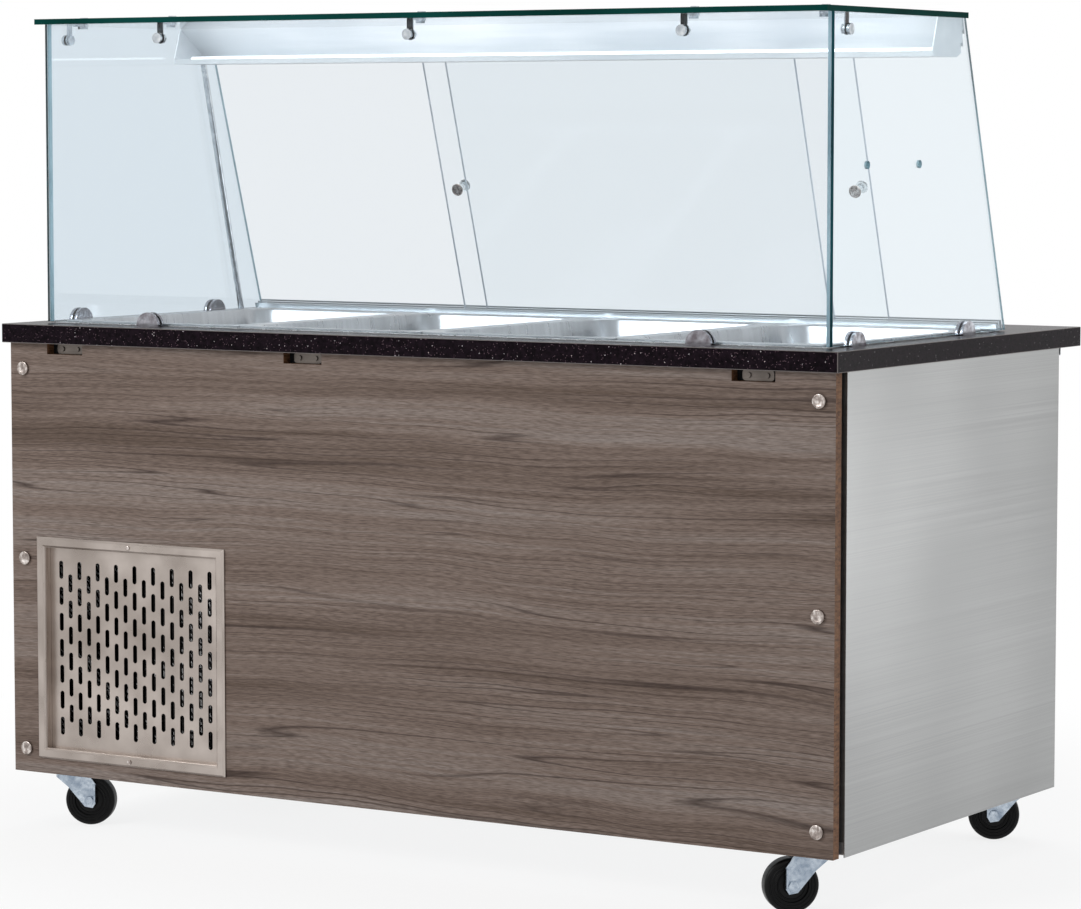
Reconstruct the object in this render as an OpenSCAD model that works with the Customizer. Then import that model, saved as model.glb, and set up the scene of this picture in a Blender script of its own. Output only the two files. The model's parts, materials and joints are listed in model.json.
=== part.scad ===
// Mobile salad bar: a chilled, pan-filled stone counter on casters under a glass sneeze guard.
// X runs along the counter, -Y is the guests' side, Z is up. The origin is on the floor under
// the centre of the worktop.

/* [Worktop] */
// Length of the stone worktop
worktop_l = 1400; // [1260:1:1560]
// Depth of the worktop
worktop_d = 763; // [750:1:860]
// Thickness of the worktop
worktop_t = 28; // [20:1:34]
// Height of the working surface above the floor
worktop_h = 755; // [735:1:850]

/* [Cabinet] */
// Overhang of the worktop past the wood panel
front_overhang = 11; // [4:0.5:20]
// Overhang of the worktop past the steel sides
side_overhang = 4; // [2:0.5:5]
// Overhang of the worktop past the steel sides at the back
rear_overhang = 66.5; // [55:0.5:75]
// Thickness of the wood front panel
panel_t = 16; // [12:0.5:20]
// How far the wood panel's ends stand in from the steel sides
panel_inset = 4; // [1:0.5:8]
// Thickness of the battens behind the wood panel
batten_t = 8.5; // [6:0.5:12]
// Width of the battens
batten_w = 40; // [30:1:45]
// Height of the cabinet's lower edge above the floor
skirt_z = 84; // [82:1:90]
// Sheet steel of the side panels
side_sheet = 1.5; // [1:0.1:2]
// Width of the folds on the edges of the side panels
side_fold = 20; // [15:1:24]
// Width of the square frame tubes
post_w = 25; // [20:1:25]
// Depth of the long frame rails
rail_d = 15; // [12:1:16]
// Width of the machine compartment
machine_w = 412; // [402:1:430]
// Sheet steel of the partition, the shelf and the service panel
inner_sheet = 1.5; // [1:0.1:2]
// Height of the shelf above the base tray
shelf_h = 240; // [150:5:350]
// Depth of the shelf's folded edges
shelf_fold = 20; // [12:1:30]

/* [Base] */
// Height of the casters from the floor to the base tray
caster_h = 102; // [100:0.5:106]
// Sheet steel of the base tray
tray_t = 2.5; // [1.5:0.1:3]
// Depth of the tray's folded edges
tray_fold = 17; // [10:1:18]
// Wheel diameter
wheel_d = 75; // [70:0.5:76]
// Wheel width
wheel_w = 24; // [18:0.5:28]
// Distance from the swivel axis back to the axle
caster_trail = 28; // [24:0.5:32]
// Side of the square caster plate
caster_plate = 60; // [54:1:62]
// Distance from the cabinet's ends in to the swivel axes
caster_end = 68; // [64:1:110]
// Distance from the cabinet's front edge back to the front swivel axes
caster_front = 33; // [32.5:0.5:60]
// Distance from the back edge of the tray in to the rear swivel axes
caster_rear = 33; // [32.5:0.5:60]
// How far the base tray runs on behind the doors
tray_step = 37; // [36:1:50]

/* [Pans] */
// Number of pans side by side
pan_count = 4; // [4:1:4]
// Distance from the worktop's ends in to the pans
pan_end = 62; // [60:0.5:70]
// Gap between the rims of two pans
pan_gap = 0.6; // [0.4:0.1:3]
// Outer length of a pan's rim
pan_l = 488; // [440:1:488]
// Depth of a pan
pan_depth = 100; // [60:5:110]
// Sheet steel of a pan
pan_sheet = 1; // [0.8:0.1:1.2]
// Width of a pan's flat rim
pan_rim = 14; // [12:0.5:16]
// Height of a pan's rim above the well flange
rim_h = 3; // [2:0.1:5]
// Corner radius of a pan's rim
rim_r = 14; // [8:1:20]
// Corner radius of a pan's body
pan_r = 40; // [25:1:50]
// How far each wall leans in from the rim to the floor
pan_taper = 14; // [8:1:18]
// Gap from the front glass back to the pans
pan_front_gap = 5.5; // [3:0.5:8]

/* [Well] */
// Depth of the well below the working surface
well_depth = 130; // [125:1:150]
// Sheet steel of the well liner
well_sheet = 1; // [0.8:0.1:1.5]
// Gap between the pans' bodies and the liner wall
well_gap = 3; // [2:0.5:4]
// Thickness of the foam round the well
foam_t = 25; // [15:1:25]
// Outer diameter of the cooling coil's tube
coil_d = 9.5; // [8:0.5:12]
// Spacing of the coil's runs
coil_pitch = 50; // [40:1:55]
// Diameter of the well's drain
drain_d = 28; // [20:1:34]

/* [Guard] */
// Thickness of the glass
glass_t = 8; // [6:1:10]
// Height of the upright glass
glass_h = 440; // [400:1:480]
// Gap under the upright glass
glass_lift = 2; // [1:0.5:4]
// Distance of the side glass in from the worktop's ends
glass_side_inset = 42; // [38:0.5:44]
// Distance of the front glass back from the worktop's front edge
glass_front_inset = 57; // [55:0.5:62]
// Depth of the side glass along its lower edge
glass_d = 528.5; // [526:0.5:540]
// Lean of the side glass's rear edge and of the sliding panes
lean = 17.2; // [16.8:0.1:17.6]
// Overhang of the top glass at the front
top_front = 20; // [10:0.5:30]
// Overhang of the top glass at the ends
top_side = 4; // [0:0.5:8]
// Radius of the half-round glass shoes
shoe_r = 20; // [14:0.5:24]
// Spacing of the two holes drilled in the right glass
glass_hole_pitch = 154.5; // [100:0.5:200]
// Diameter of the holes drilled in the right glass
glass_hole_d = 11; // [8:0.5:14]

/* [Sliding panes] */
// Thickness of the sliding panes
pane_t = 5; // [4:0.5:5.5]
// Distance between the two panes' middle planes
pane_spacing = 9.3; // [9:0.1:9.8]
// Width of the front pane
front_pane_w = 638; // [560:1:640]
// Width of the rear pane
rear_pane_w = 687; // [600:1:690]
// Diameter of the clear knobs
knob_d = 19; // [16:0.5:22]
// Length of the clear knobs
knob_l = 19; // [14:0.5:22]

/* [Grille] */
// Width of the air grille
grille_w = 346; // [340:1:360]
// Height of the air grille
grille_h = 332; // [325:1:345]
// Width of the grille's raised border
grille_border = 15; // [12:0.5:18]
// How far the border stands proud
grille_rise = 5; // [3:0.5:6]
// How far the slotted plate lies behind the face of the wood
grille_recess = 12; // [4:0.5:14]
// Width of a grille slot
slot_w = 7.5; // [5:0.5:10]
// Height of a grille slot
slot_h = 27; // [20:1:30]
// Spacing of the slots across the grille
slot_pitch_x = 17.15; // [15:0.05:18]
// Spacing of the slots up the grille
slot_pitch_z = 39; // [36:0.5:41]

/* [Rear doors] */
// Thickness of a storage door
door_t = 13; // [10:0.5:13]
// Gap between a door and the cabinet
door_gap = 2; // [1:0.5:3]
// Diameter of the doors' pivot pins
pivot_d = 6; // [5:0.5:7]
// How far the door handles stand out
handle_out = 32; // [25:1:36]

/* [Cooling unit] */
// Diameter of the fan
fan_d = 190; // [150:1:196]
// Number of fan blades
fan_blades = 5; // [3:1:7]
// Diameter of the compressor
compressor_d = 160; // [130:1:170]
// Height of the compressor's housing
compressor_h = 165; // [140:1:180]
// Thickness of the condenser
condenser_t = 44; // [30:1:50]

/* [Hidden] */

eps = 0.01;
fit = 0.05;
gap = 0.3;
over = 5;

// Levels and faces of the cabinet
cab_top = worktop_h - worktop_t;
front_y = -worktop_d / 2 + front_overhang;
panel_back = front_y + panel_t;
body_front = panel_back + batten_t;
side_x = worktop_l / 2 - side_overhang;
inner_x = side_x - side_sheet;
panel_x = side_x - panel_inset;
body_rear = worktop_d / 2 - rear_overhang;
post_front = body_front + side_sheet;
post_rear = body_rear - side_sheet;
tray_top = caster_h + tray_t;
tray_rear = body_rear + tray_step;
partition_x = -side_x + machine_w;

// Levels and faces of the guard
glass_x = worktop_l / 2 - glass_side_inset;
glass_in_x = glass_x - glass_t;
glass_y = -worktop_d / 2 + glass_front_inset;
glass_in_y = glass_y + glass_t;
glass_base = worktop_h + glass_lift;
glass_top = glass_base + glass_h;
glass_rear_y = glass_in_y + glass_d;
glass_rear_top_y = glass_rear_y - glass_h * tan(lean);
bolt_r = 3;
bolt_bore_r = 3.3;
glass_bore_r = 4;
button_r = 7.75;
button_h = 4;
nut_r = 7.5;
nut_h = 4;
bracket_w = 10.5;
bracket_t = 2;
bracket_drop = 22;
bracket_reach = 26.5;
front_bracket_x = glass_x * [-0.68, -0.014, 0.657];
side_bracket_y = glass_in_y + 41.5;
front_shoe_x = glass_x * [-0.711, 0.701];
side_shoe_y = [glass_in_y + 66.5, glass_in_y + glass_d * 0.76];
shoe_in = 4.8;
shoe_out = 5;
shoe_fit = 0.1;
set_screw_r = 3;
glass_hole_y = glass_in_y + 98.8;
glass_hole_z = glass_base + 238.5;

// The pans, the well and its foam
pan_pitch = (worktop_l - 2 * pan_end) / pan_count;
pan_w = pan_pitch - pan_gap;
rim_top = worktop_h + well_sheet + rim_h;
pans_x = (pan_count - 1) / 2 * pan_pitch + pan_w / 2;
pan_front = glass_in_y + pan_front_gap;
pan_mid_y = pan_front + pan_l / 2;
well_x = pans_x - pan_rim + well_gap;
well_front = pan_front + pan_rim - well_gap;
well_rear = pan_front + pan_l - pan_rim + well_gap;
well_mid_y = (well_front + well_rear) / 2;
well_floor = worktop_h - well_depth;
flange_x = glass_in_x - 0.5;
flange_front = glass_in_y + gap;
flange_rear = pan_front + pan_l + 11;
cut_gap = 0.5;
foam_gap = 0.3;
foam_bottom = well_floor - 40;
coil_z = well_floor - well_sheet - gap - coil_d / 2;
coil_runs = 8;
coil_x = well_x - 86.7;
coil_y0 = well_mid_y - (coil_runs - 1) / 2 * coil_pitch;
coil_y1 = well_mid_y + (coil_runs - 1) / 2 * coil_pitch;
drain_x = well_x - 26.7;
bar_w = 18;
bar_leg = 16;

// Sliding panes and their tracks, in the leaning frame: n runs rearward, u up the glass
pane_fit = 0.6;
track_wall = 2;
rear_pane_n = -5.2;
front_pane_n = rear_pane_n - pane_spacing;
pane_floor_z = worktop_h + 3.5;
channel_wall = 1.2;
channel_half = pane_t / 2 + pane_fit + channel_wall;
channel_d = 7;
ledge_step = 15.5;
upper_ledge_u = glass_h / cos(lean) - 14.6;
lower_ledge_u = upper_ledge_u - ledge_step;
pane_top_gap = 1.3;
track_u = 15;
knob_edge = 25;
front_pane_x = 400 - glass_in_x;
rear_pane_x = front_pane_x + knob_edge + 10;
knob_u = 208;
knob_disc_h = 3;
knob_bore_r = 4;

// The light canopy
canopy_sheet = 1.2;
canopy_plate = 1.5;
canopy_x = glass_in_x - 1;
canopy_floor = glass_top - 54.2;
canopy_lip_y = glass_rear_top_y - 94.3;
canopy_bend_y = glass_rear_top_y - 19.8;
canopy_front_top_y = canopy_lip_y + 15.5;
canopy_bolt_x = canopy_x - 89;
canopy_bolt_y = canopy_lip_y + 48.5;
canopy_bolt_drop = 16;
batten_light_x = canopy_x - 29;
post_tube_r = 4.75;
post_tube_wall = 1;
post_foot_y = glass_rear_y - 67;
post_head_y = canopy_bend_y - 6;

// The grille
grille_x = 224 - side_x;
grille_z = skirt_z + 189;
grille_sheet = 1.2;
grille_lap = grille_border - 1;
grille_wall_gap = 0.5;
grille_head_r = 3.5;
grille_head_h = 2;
slot_columns = 17;
slot_rows = 7;
grille_opening_w = grille_w - 2 * grille_lap;
grille_opening_h = grille_h - 2 * grille_lap;

// Screws and rail brackets on the wood panel
cap_r = 10;
cap_h = 4;
cap_x = panel_x - 24;
cap_z = [cab_top - 38, (cab_top + skirt_z) / 2, skirt_z + 35.5];
screw_r = 3;
screw_bore_r = 3.3;
pocket_w = 66;
pocket_h = 16;
pocket_x = [106 - side_x, 536 - side_x, side_x - 127];
rail_plate_w = 48;
rail_plate_t = 2.5;
rail_screw_pitch = 28;

// Rear doors, service panel and controls
door_bottom = tray_top + 2.5;
door_top = cab_top - 13;
door_in_y = body_rear + door_gap;
door_axis_y = door_in_y + door_t / 2;
door_out_y = door_in_y + door_t;
door_left_x = partition_x + 10.5;
door_right_x = side_x - 12.5;
door_mid_x = (door_left_x + door_right_x) / 2;
door_split = 2;
pivot_depth = 12;
service_x0 = -side_x + 6;
service_x1 = partition_x - 1;
control_z = cab_top - 87;
control_mid_z = (control_z + door_top) / 2;
louvre_l = 90;
louvre_h = 9;
louvre_rows = 9;
louvre_columns = 3;
louvre_pitch_x = 120;
louvre_pitch_z = 48;
switch_x = [service_x0 + 130, service_x0 + 190];
thermostat_x = service_x0 + 290;
switch_w = 22;
switch_h = 32;
switch_bezel = 2;
rocker_h = 24;
rocker_tilt = 8;
rocker_y = door_out_y - 4;
knob_shaft_r = 3;
dial_r = 18;
dial_h = 16;

// The cooling unit
unit_x = grille_x;
unit_z = grille_z;
condenser_w = 316;
condenser_h = 300;
condenser_front = post_front + 8;
condenser_rear = condenser_front + condenser_t;
condenser_fins = 19;
condenser_tubes = 8;
shroud_sheet = 1.5;
shroud_depth = 22;
shroud_rear = condenser_rear + shroud_depth;
ring_l = 18;
ring_gap = 4;
ring_r = fan_d / 2 + ring_gap;
hub_r = 22;
hub_l = 22;
fan_front = shroud_rear - 2;
motor_r = 38;
motor_l = 50;
motor_front = fan_front + hub_l + 8;
shaft_r = 4;
compressor_x = 156 - side_x;
compressor_y = post_front + 424.5;
foot_h = 18;
pipe_r = 4.75;
stub_h = 14;
compressor_base = tray_top + foot_h + 3;
stub_z = compressor_base + compressor_h;
stub_offset = 40;
condenser_top = tray_top + 12 + condenser_h;
inlet_x = unit_x + 140;
outlet_x = unit_x - 140;
condenser_mid_y = (condenser_front + condenser_rear) / 2;
inlet_stub = 7;
hot_rise = 32;
suction_rise = 95;
liquid_drop = 85;
shaft_seat = 24;

// Casters: where each swivel axis stands and the way its wheel trails
caster_x = side_x - caster_end;
front_axis_y = body_front + caster_front;
rear_axis_y = tray_rear - caster_rear;
caster_fl = [-caster_x, front_axis_y, 25.5];
caster_fr = [caster_x, front_axis_y, 222];
caster_rl = [-caster_x, rear_axis_y, 210];
caster_rr = [caster_x, rear_axis_y, 206.5];
axle_z = wheel_d / 2;
axle_r = 4;
fork_t = 2.5;
fork_gap = 1.5;
fork_in = wheel_w / 2 + fork_gap;
plate_t = 2.5;
crown_z = wheel_d + 4;
race_r = 22;
race_split = crown_z + fork_t + 7;
kingpin_r = 5;
kingpin_head_r = 8;
bolt_head_r = 7.5;
bolt_head_h = 5;
plate_bolt_r = 3;
plate_bore_r = 3.3;
plate_bolt_inset = 8;
plate_head_r = 5.5;
plate_head_h = 3;
plate_rivet_h = 1.8;

stone = "#2e2a31";
steel = "#c3c6c8";
zinc = "#aab0b5";
glass = [0.72, 0.82, 0.86, 0.4];
wood = "#6f5d50";
dark = "#26262a";
foam = "#d8d2b4";
copper = "#b87345";
rubber = "#1d1d1f";
brushed = "#b3b6b9";

function unit_of(v) = v / norm(v);
function left_of(a, b) = let (d = unit_of(b - a)) [-d[1], d[0]];
function last(p) = len(p) - 1;

// The far face of a folded sheet whose near face follows the points p
function fold_side(p, t) = [
    for (i = [0:last(p)])
        let (before = left_of(p[max(i - 1, 0)], p[max(i, 1)]))
        let (after = left_of(p[min(i, last(p) - 1)], p[min(i + 1, last(p))]))
        p[i] + t * (before + after) / (1 + before * after)
];
function folded(p, t) = let (far = fold_side(p, t)) concat(p, [for (i = [last(p):-1:0]) far[i]]);

corner_steps = 8;
function corner(x, y, r, start) = [
    for (i = [0:corner_steps])
        let (a = start + 90 * i / corner_steps) [x + r * cos(a), y + r * sin(a)]
];
function rounded(w, d, r) = concat(
    corner(w / 2 - r, d / 2 - r, r, 0), corner(r - w / 2, d / 2 - r, r, 90),
    corner(r - w / 2, r - d / 2, r, 180), corner(w / 2 - r, r - d / 2, r, 270)
);

// A point of the leaning frame as its Y and Z
function leaning(n, u) = [
    glass_rear_y + n * cos(lean) - u * sin(lean),
    glass_base + n * sin(lean) + u * cos(lean)
];

module block(lo, hi) translate(lo) cube(hi - lo);
module along_x(x0, x1) translate([x0, 0, 0]) rotate([90, 0, 90]) linear_extrude(x1 - x0) children();
module along_y(y0, y1) translate([0, y1, 0]) rotate([90, 0, 0]) linear_extrude(y1 - y0) children();
module pin_x(x0, x1, r) translate([x0, 0, 0]) rotate([0, 90, 0]) cylinder(r = r, h = x1 - x0, $fn = 32);
module pin_y(y0, y1, r) translate([0, y1, 0]) rotate([90, 0, 0]) cylinder(r = r, h = y1 - y0, $fn = 32);
module pin_z(z0, z1, r) translate([0, 0, z0]) cylinder(r = r, h = z1 - z0, $fn = 32);
module leaning_frame() translate([0, glass_rear_y, glass_base]) rotate([lean, 0, 0]) children();

// A straight-run tube through the points p, with a brazed elbow at each turn
module tube_run(p, r) {
    for (i = [0:last(p) - 1]) {
        step = p[i + 1] - p[i];
        translate(p[i])
            rotate([0, acos(step[2] / norm(step)), atan2(step[1], step[0])])
            cylinder(r = r, h = norm(step), $fn = 24);
    }
    for (i = [1:last(p) - 1])
        translate(p[i]) sphere(r = r * 1.15, $fn = 24);
}

// ---- Worktop and well ----

module worktop() {
    color(stone) difference() {
        block([-worktop_l / 2, -worktop_d / 2, cab_top], [worktop_l / 2, worktop_d / 2, worktop_h]);
        block(
            [-well_x - well_sheet - cut_gap, well_front - well_sheet - cut_gap, cab_top - over],
            [well_x + well_sheet + cut_gap, well_rear + well_sheet + cut_gap, worktop_h + over]
        );
    }
}

module well_liner() {
    wall = well_sheet;
    color(steel) difference() {
        union() {
            block([-flange_x, flange_front, worktop_h], [flange_x, flange_rear, worktop_h + wall]);
            block(
                [-well_x - wall, well_front - wall, well_floor - wall],
                [well_x + wall, well_rear + wall, worktop_h + wall / 2]
            );
            translate([drain_x, well_mid_y, 0]) pin_z(foam_bottom - 12, well_floor - wall / 2, drain_d / 2);
        }
        block([-well_x, well_front, well_floor], [well_x, well_rear, worktop_h + over]);
        translate([drain_x, well_mid_y, 0]) pin_z(foam_bottom - 20, well_floor + over, drain_d / 2 - 1.5);
    }
}

module well_insulation() {
    inner = well_sheet + foam_gap;
    outer = inner + foam_t;
    color(foam) difference() {
        block(
            [-well_x - outer, well_front - outer, foam_bottom],
            [well_x + outer, well_rear + outer, cab_top]
        );
        block(
            [-well_x - inner, well_front - inner, well_floor - inner],
            [well_x + inner, well_rear + inner, cab_top + over]
        );
        // The recess that the coil lies in
        block(
            [-coil_x - coil_pitch, coil_y0 - coil_d, coil_z - coil_d / 2],
            [coil_x + coil_pitch / 2 + coil_d, coil_y1 + coil_d, well_floor]
        );
        for (y = [coil_y0, coil_y1])
            translate([-coil_x - coil_d, y, 0]) pin_z(foam_bottom - over, well_floor, coil_d / 2 + gap);
        translate([drain_x, well_mid_y, 0])
            pin_z(foam_bottom - over, well_floor + over, drain_d / 2 + gap);
    }
}

// Inverted channels that carry the rims where two pans meet
module pan_divider_bars() {
    top = worktop_h + well_sheet;
    half = bar_w / 2;
    legs = [[-half, top - bar_leg], [-half, top], [half, top], [half, top - bar_leg]];
    color(steel) for (i = [1:pan_count - 1])
        translate([(i - pan_count / 2) * pan_pitch, 0, 0])
            along_y(well_front, well_rear) polygon(folded(legs, -canopy_sheet));
}

module cooling_coil() {
    r = coil_d / 2;
    turn = coil_pitch / 2;
    down_x = -coil_x - coil_d;
    color(copper) {
        for (i = [0:coil_runs - 1])
            translate([0, coil_y0 + i * coil_pitch, coil_z])
                pin_x((i == 0 || i == coil_runs - 1) ? down_x : -coil_x, coil_x, r);
        for (i = [0:coil_runs - 2])
            translate([i % 2 == 0 ? coil_x : -coil_x, coil_y0 + (i + 0.5) * coil_pitch, coil_z])
                rotate([0, 0, i % 2 == 0 ? -90 : 90])
                rotate_extrude(angle = 180, $fn = 48) translate([turn, 0]) circle(r = r, $fn = 24);
        for (y = [coil_y0, coil_y1])
            translate([down_x, y, 0]) pin_z(foam_bottom, coil_z + r * 0.9, r * 0.97);
    }
}

// ---- Pans ----

module pan_slab(w, l, r, z, t) translate([0, 0, z]) linear_extrude(t) polygon(rounded(w, l, r));

module pan(index) {
    body_w = pan_w - 2 * pan_rim;
    body_l = pan_l - 2 * pan_rim;
    lip = rim_h - 0.2;
    edge = 1.5;
    color(steel) translate([(index - (pan_count + 1) / 2) * pan_pitch, pan_mid_y, rim_top]) difference() {
        union() {
            pan_slab(pan_w, pan_l, rim_r, -pan_sheet, pan_sheet);
            difference() {
                pan_slab(pan_w, pan_l, rim_r, -lip, lip - pan_sheet / 2);
                pan_slab(pan_w - 2 * edge, pan_l - 2 * edge, rim_r - edge, -lip - 1, lip + 1 - pan_sheet);
            }
            hull() {
                pan_slab(body_w, body_l, pan_r, -pan_sheet * 1.5, pan_sheet);
                pan_slab(body_w - 2 * pan_taper, body_l - 2 * pan_taper, pan_r, 6 - pan_depth, 1);
                pan_slab(
                    body_w - 2 * pan_taper - 12, body_l - 2 * pan_taper - 12, pan_r - 6, -pan_depth, 1
                );
            }
        }
        hull() {
            pan_slab(body_w - 2 * pan_sheet, body_l - 2 * pan_sheet, pan_r - pan_sheet, 0, 1);
            pan_slab(
                body_w - 2 * (pan_taper + pan_sheet), body_l - 2 * (pan_taper + pan_sheet),
                pan_r - pan_sheet, 6 - pan_depth + pan_sheet, 1
            );
            pan_slab(
                body_w - 2 * (pan_taper + pan_sheet) - 12, body_l - 2 * (pan_taper + pan_sheet) - 12,
                pan_r - 6 - pan_sheet, pan_sheet - pan_depth, 1
            );
        }
    }
}

// ---- Cabinet ----

module base_tray() {
    fold = tray_fold;
    rear_x = side_x - 17;
    color(steel) {
        difference() {
            union() {
                block([-inner_x, body_front, caster_h], [inner_x, body_rear, tray_top]);
                block([-rear_x, body_rear - over, caster_h], [rear_x, tray_rear, tray_top]);
                block([-inner_x, body_front, tray_top - fold], [inner_x, body_front + tray_t, tray_top]);
                block([-rear_x, tray_rear - tray_t, tray_top - fold], [rear_x, tray_rear, tray_top]);
                for (side = [0, 1])
                    mirror([side, 0, 0])
                        block(
                            [inner_x - tray_t, body_front, tray_top - fold],
                            [inner_x, body_rear, tray_top]
                        );
            }
            for (i = [0:4])
                translate([unit_x, compressor_y + (i - 4) * 40, 0])
                    block([-90, -8, caster_h - over], [90, 8, tray_top + over]);
            for (c = [caster_fl, caster_fr, caster_rl, caster_rr])
                translate([c[0], c[1], 0])
                    plate_bolt_places() pin_z(caster_h - over, tray_top + over, plate_bore_r);
        }
    }
}

module post(x, y) difference() {
    block([x, y, tray_top], [x + post_w, y + post_w, cab_top]);
    block([x + 2, y + 2, tray_top - 1], [x + post_w - 2, y + post_w - 2, cab_top + 1]);
}

module door_pins(x) translate([x, door_axis_y, 0]) {
    pin_z(tray_top, door_bottom + pivot_depth - 1, pivot_d / 2);
    pin_z(door_top - pivot_depth + 1, door_top + 1, pivot_d / 2);
}

module carcass_frame() {
    header = [
        [body_rear + 14, cab_top], [door_out_y, cab_top],
        [door_out_y, door_top + 1], [body_rear, door_top + 1], [body_rear, cab_top - 0.5]
    ];
    color(steel) {
        for (x = [-inner_x, inner_x - post_w])
            for (y = [post_front, post_rear - post_w])
                post(x, y);
        for (y = [post_front, post_rear - rail_d])
            block(
                [-inner_x + post_w, y, cab_top - post_w],
                [inner_x - post_w, y + rail_d, cab_top]
            );
        for (side = [0, 1])
            mirror([side, 0, 0])
                block(
                    [inner_x - rail_d, post_front + post_w, cab_top - post_w],
                    [inner_x, post_rear - post_w, cab_top]
                );
        along_x(-panel_x, panel_x) polygon(folded(header, -side_sheet));
        door_pins(door_left_x + door_t / 2);
        door_pins(door_right_x - door_t / 2);
    }
}

// A folded side sheet: front return, outer face and rear return in one
module side_panel() {
    path = [
        [inner_x + side_sheet - side_fold, body_front], [side_x, body_front],
        [side_x, body_rear], [inner_x + side_sheet - side_fold, body_rear]
    ];
    color(brushed) translate([0, 0, skirt_z])
        difference() {
            linear_extrude(cab_top - skirt_z) polygon(folded(path, side_sheet));
            block([0, body_front - over, -over], [inner_x, body_rear + over, tray_top - skirt_z]);
        }
}

module partition() {
    fold = 20;
    path = [
        [partition_x - fold, post_front], [partition_x, post_front],
        [partition_x, post_rear], [partition_x - fold, post_rear]
    ];
    color(steel) translate([0, 0, tray_top])
        linear_extrude(foam_bottom - tray_top) polygon(folded(path, inner_sheet));
}

module shelf() {
    front = post_front + post_w + 1;
    rear = post_rear - post_w - 1;
    top = tray_top + shelf_h;
    path = [[front, top - shelf_fold], [front, top], [rear, top], [rear, top - shelf_fold]];
    color(steel) {
        along_x(partition_x, inner_x) polygon(folded(path, -inner_sheet));
        // Bearers under the two ends
        for (x = [partition_x, inner_x - shelf_fold])
            block([x, front + 40, top - shelf_fold], [x + shelf_fold, rear - 40, top - inner_sheet]);
    }
}

// ---- Front panel and what is set in it ----

module panel_outline() difference() {
    translate([-panel_x, skirt_z]) square([2 * panel_x, cab_top - skirt_z]);
    translate([grille_x - grille_opening_w / 2, grille_z - grille_opening_h / 2])
        square([grille_opening_w, grille_opening_h]);
    for (x = pocket_x)
        translate([x - pocket_w / 2, cab_top - pocket_h]) square([pocket_w, pocket_h + over]);
    screw_bores();
}

module screw_bores() {
    for (x = [-cap_x, cap_x])
        for (z = cap_z)
            translate([x, z]) circle(r = screw_bore_r, $fn = 24);
}

module front_panel() color(wood) along_y(front_y, panel_back) panel_outline();

module panel_battens() {
    low = skirt_z + 3;
    high = cab_top - 1;
    wide = panel_x - 4;
    bar = 13;
    grille_right = grille_x + grille_w / 2;
    grille_over = grille_z + grille_h / 2;
    color(dark) along_y(panel_back, body_front) difference() {
        translate([-wide, low]) square([2 * wide, high - low]);
        translate([grille_x - grille_opening_w / 2, grille_z - grille_opening_h / 2])
            square([grille_opening_w, grille_opening_h]);
        translate([-wide + batten_w, grille_over + batten_w])
            square([grille_right + wide - bar, high - grille_over - 2 * batten_w]);
        translate([grille_right + batten_w, low + batten_w])
            square([wide - grille_right - 2 * batten_w, high - low - 2 * batten_w]);
        screw_bores();
    }
}

module panel_screws() {
    color(zinc) {
        for (x = [-cap_x, cap_x])
            for (z = cap_z)
                translate([x, 0, z]) {
                    pin_y(front_y - cap_h, front_y, cap_r);
                    pin_y(front_y - eps, body_front, screw_r);
                }
        for (side = [-1, 1])
            translate([grille_x, 0, grille_z + side * (grille_h - grille_border) / 2])
                pin_y(front_y - grille_rise - grille_head_h, front_y - grille_rise, grille_head_r);
    }
}

module rail_brackets() {
    mid_z = cab_top - pocket_h / 2;
    color(steel) for (x = pocket_x)
        translate([x, 0, mid_z]) {
            along_y(panel_back - rail_plate_t, panel_back)
                polygon(rounded(rail_plate_w, pocket_h - 1, 5));
            for (side = [-1, 1])
                translate([side * rail_screw_pitch / 2, 0, 0])
                    pin_y(panel_back - rail_plate_t - 2, panel_back - rail_plate_t, 3.5);
        }
}

// One mitred bar of the raised border, lying on its back with its outer edge on Y = 0
module border_bar(l) {
    w = grille_border;
    h = grille_rise;
    ridge = 3;
    intersection() {
        linear_extrude(h + 1)
            polygon([[-l / 2, 0], [l / 2, 0], [l / 2 - w, w], [-l / 2 + w, w]]);
        rotate([90, 0, 90]) linear_extrude(l, center = true)
            polygon([[0, 0], [w, 0], [w, h * 0.4], [w - ridge, h], [ridge, h], [0, h * 0.4]]);
    }
}

// The border and the walls that run back from its inner edge to the slotted plate
module grille_frame() {
    depth = grille_recess - grille_sheet;
    color(brushed) translate([grille_x, front_y, grille_z]) rotate([90, 0, 0]) {
        for (turn = [0, 90, 180, 270]) {
            upright = turn % 180 != 0;
            rotate([0, 0, turn])
                translate([0, -(upright ? grille_w : grille_h) / 2, 0])
                border_bar(upright ? grille_h : grille_w);
        }
        translate([0, 0, -depth]) linear_extrude(depth + 1) difference() {
            grille_box(0);
            grille_box(grille_sheet);
        }
    }
}

// The outline of the grille's walls, in from the opening in the wood
module grille_box(inset) square([
    grille_opening_w - 2 * (grille_wall_gap + inset), grille_opening_h - 2 * (grille_wall_gap + inset)
], center = true);

module slot() {
    straight = slot_h - slot_w;
    square([slot_w, straight], center = true);
    for (side = [-1, 1])
        translate([0, side * straight / 2]) circle(d = slot_w, $fn = 24);
}

// Staggered columns: every second one is a slot shorter and half a pitch higher
module grille_plate() {
    back = front_y + grille_recess;
    color(brushed) along_y(back - grille_sheet, back) difference() {
        translate([grille_x, grille_z]) grille_box(0);
        for (i = [0:slot_columns - 1]) {
            rows = slot_rows - i % 2;
            for (j = [0:rows - 1])
                translate([
                    grille_x + (i - (slot_columns - 1) / 2) * slot_pitch_x,
                    grille_z + (j - (rows - 1) / 2) * slot_pitch_z
                ]) slot();
        }
    }
}

// ---- Cooling unit ----

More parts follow.
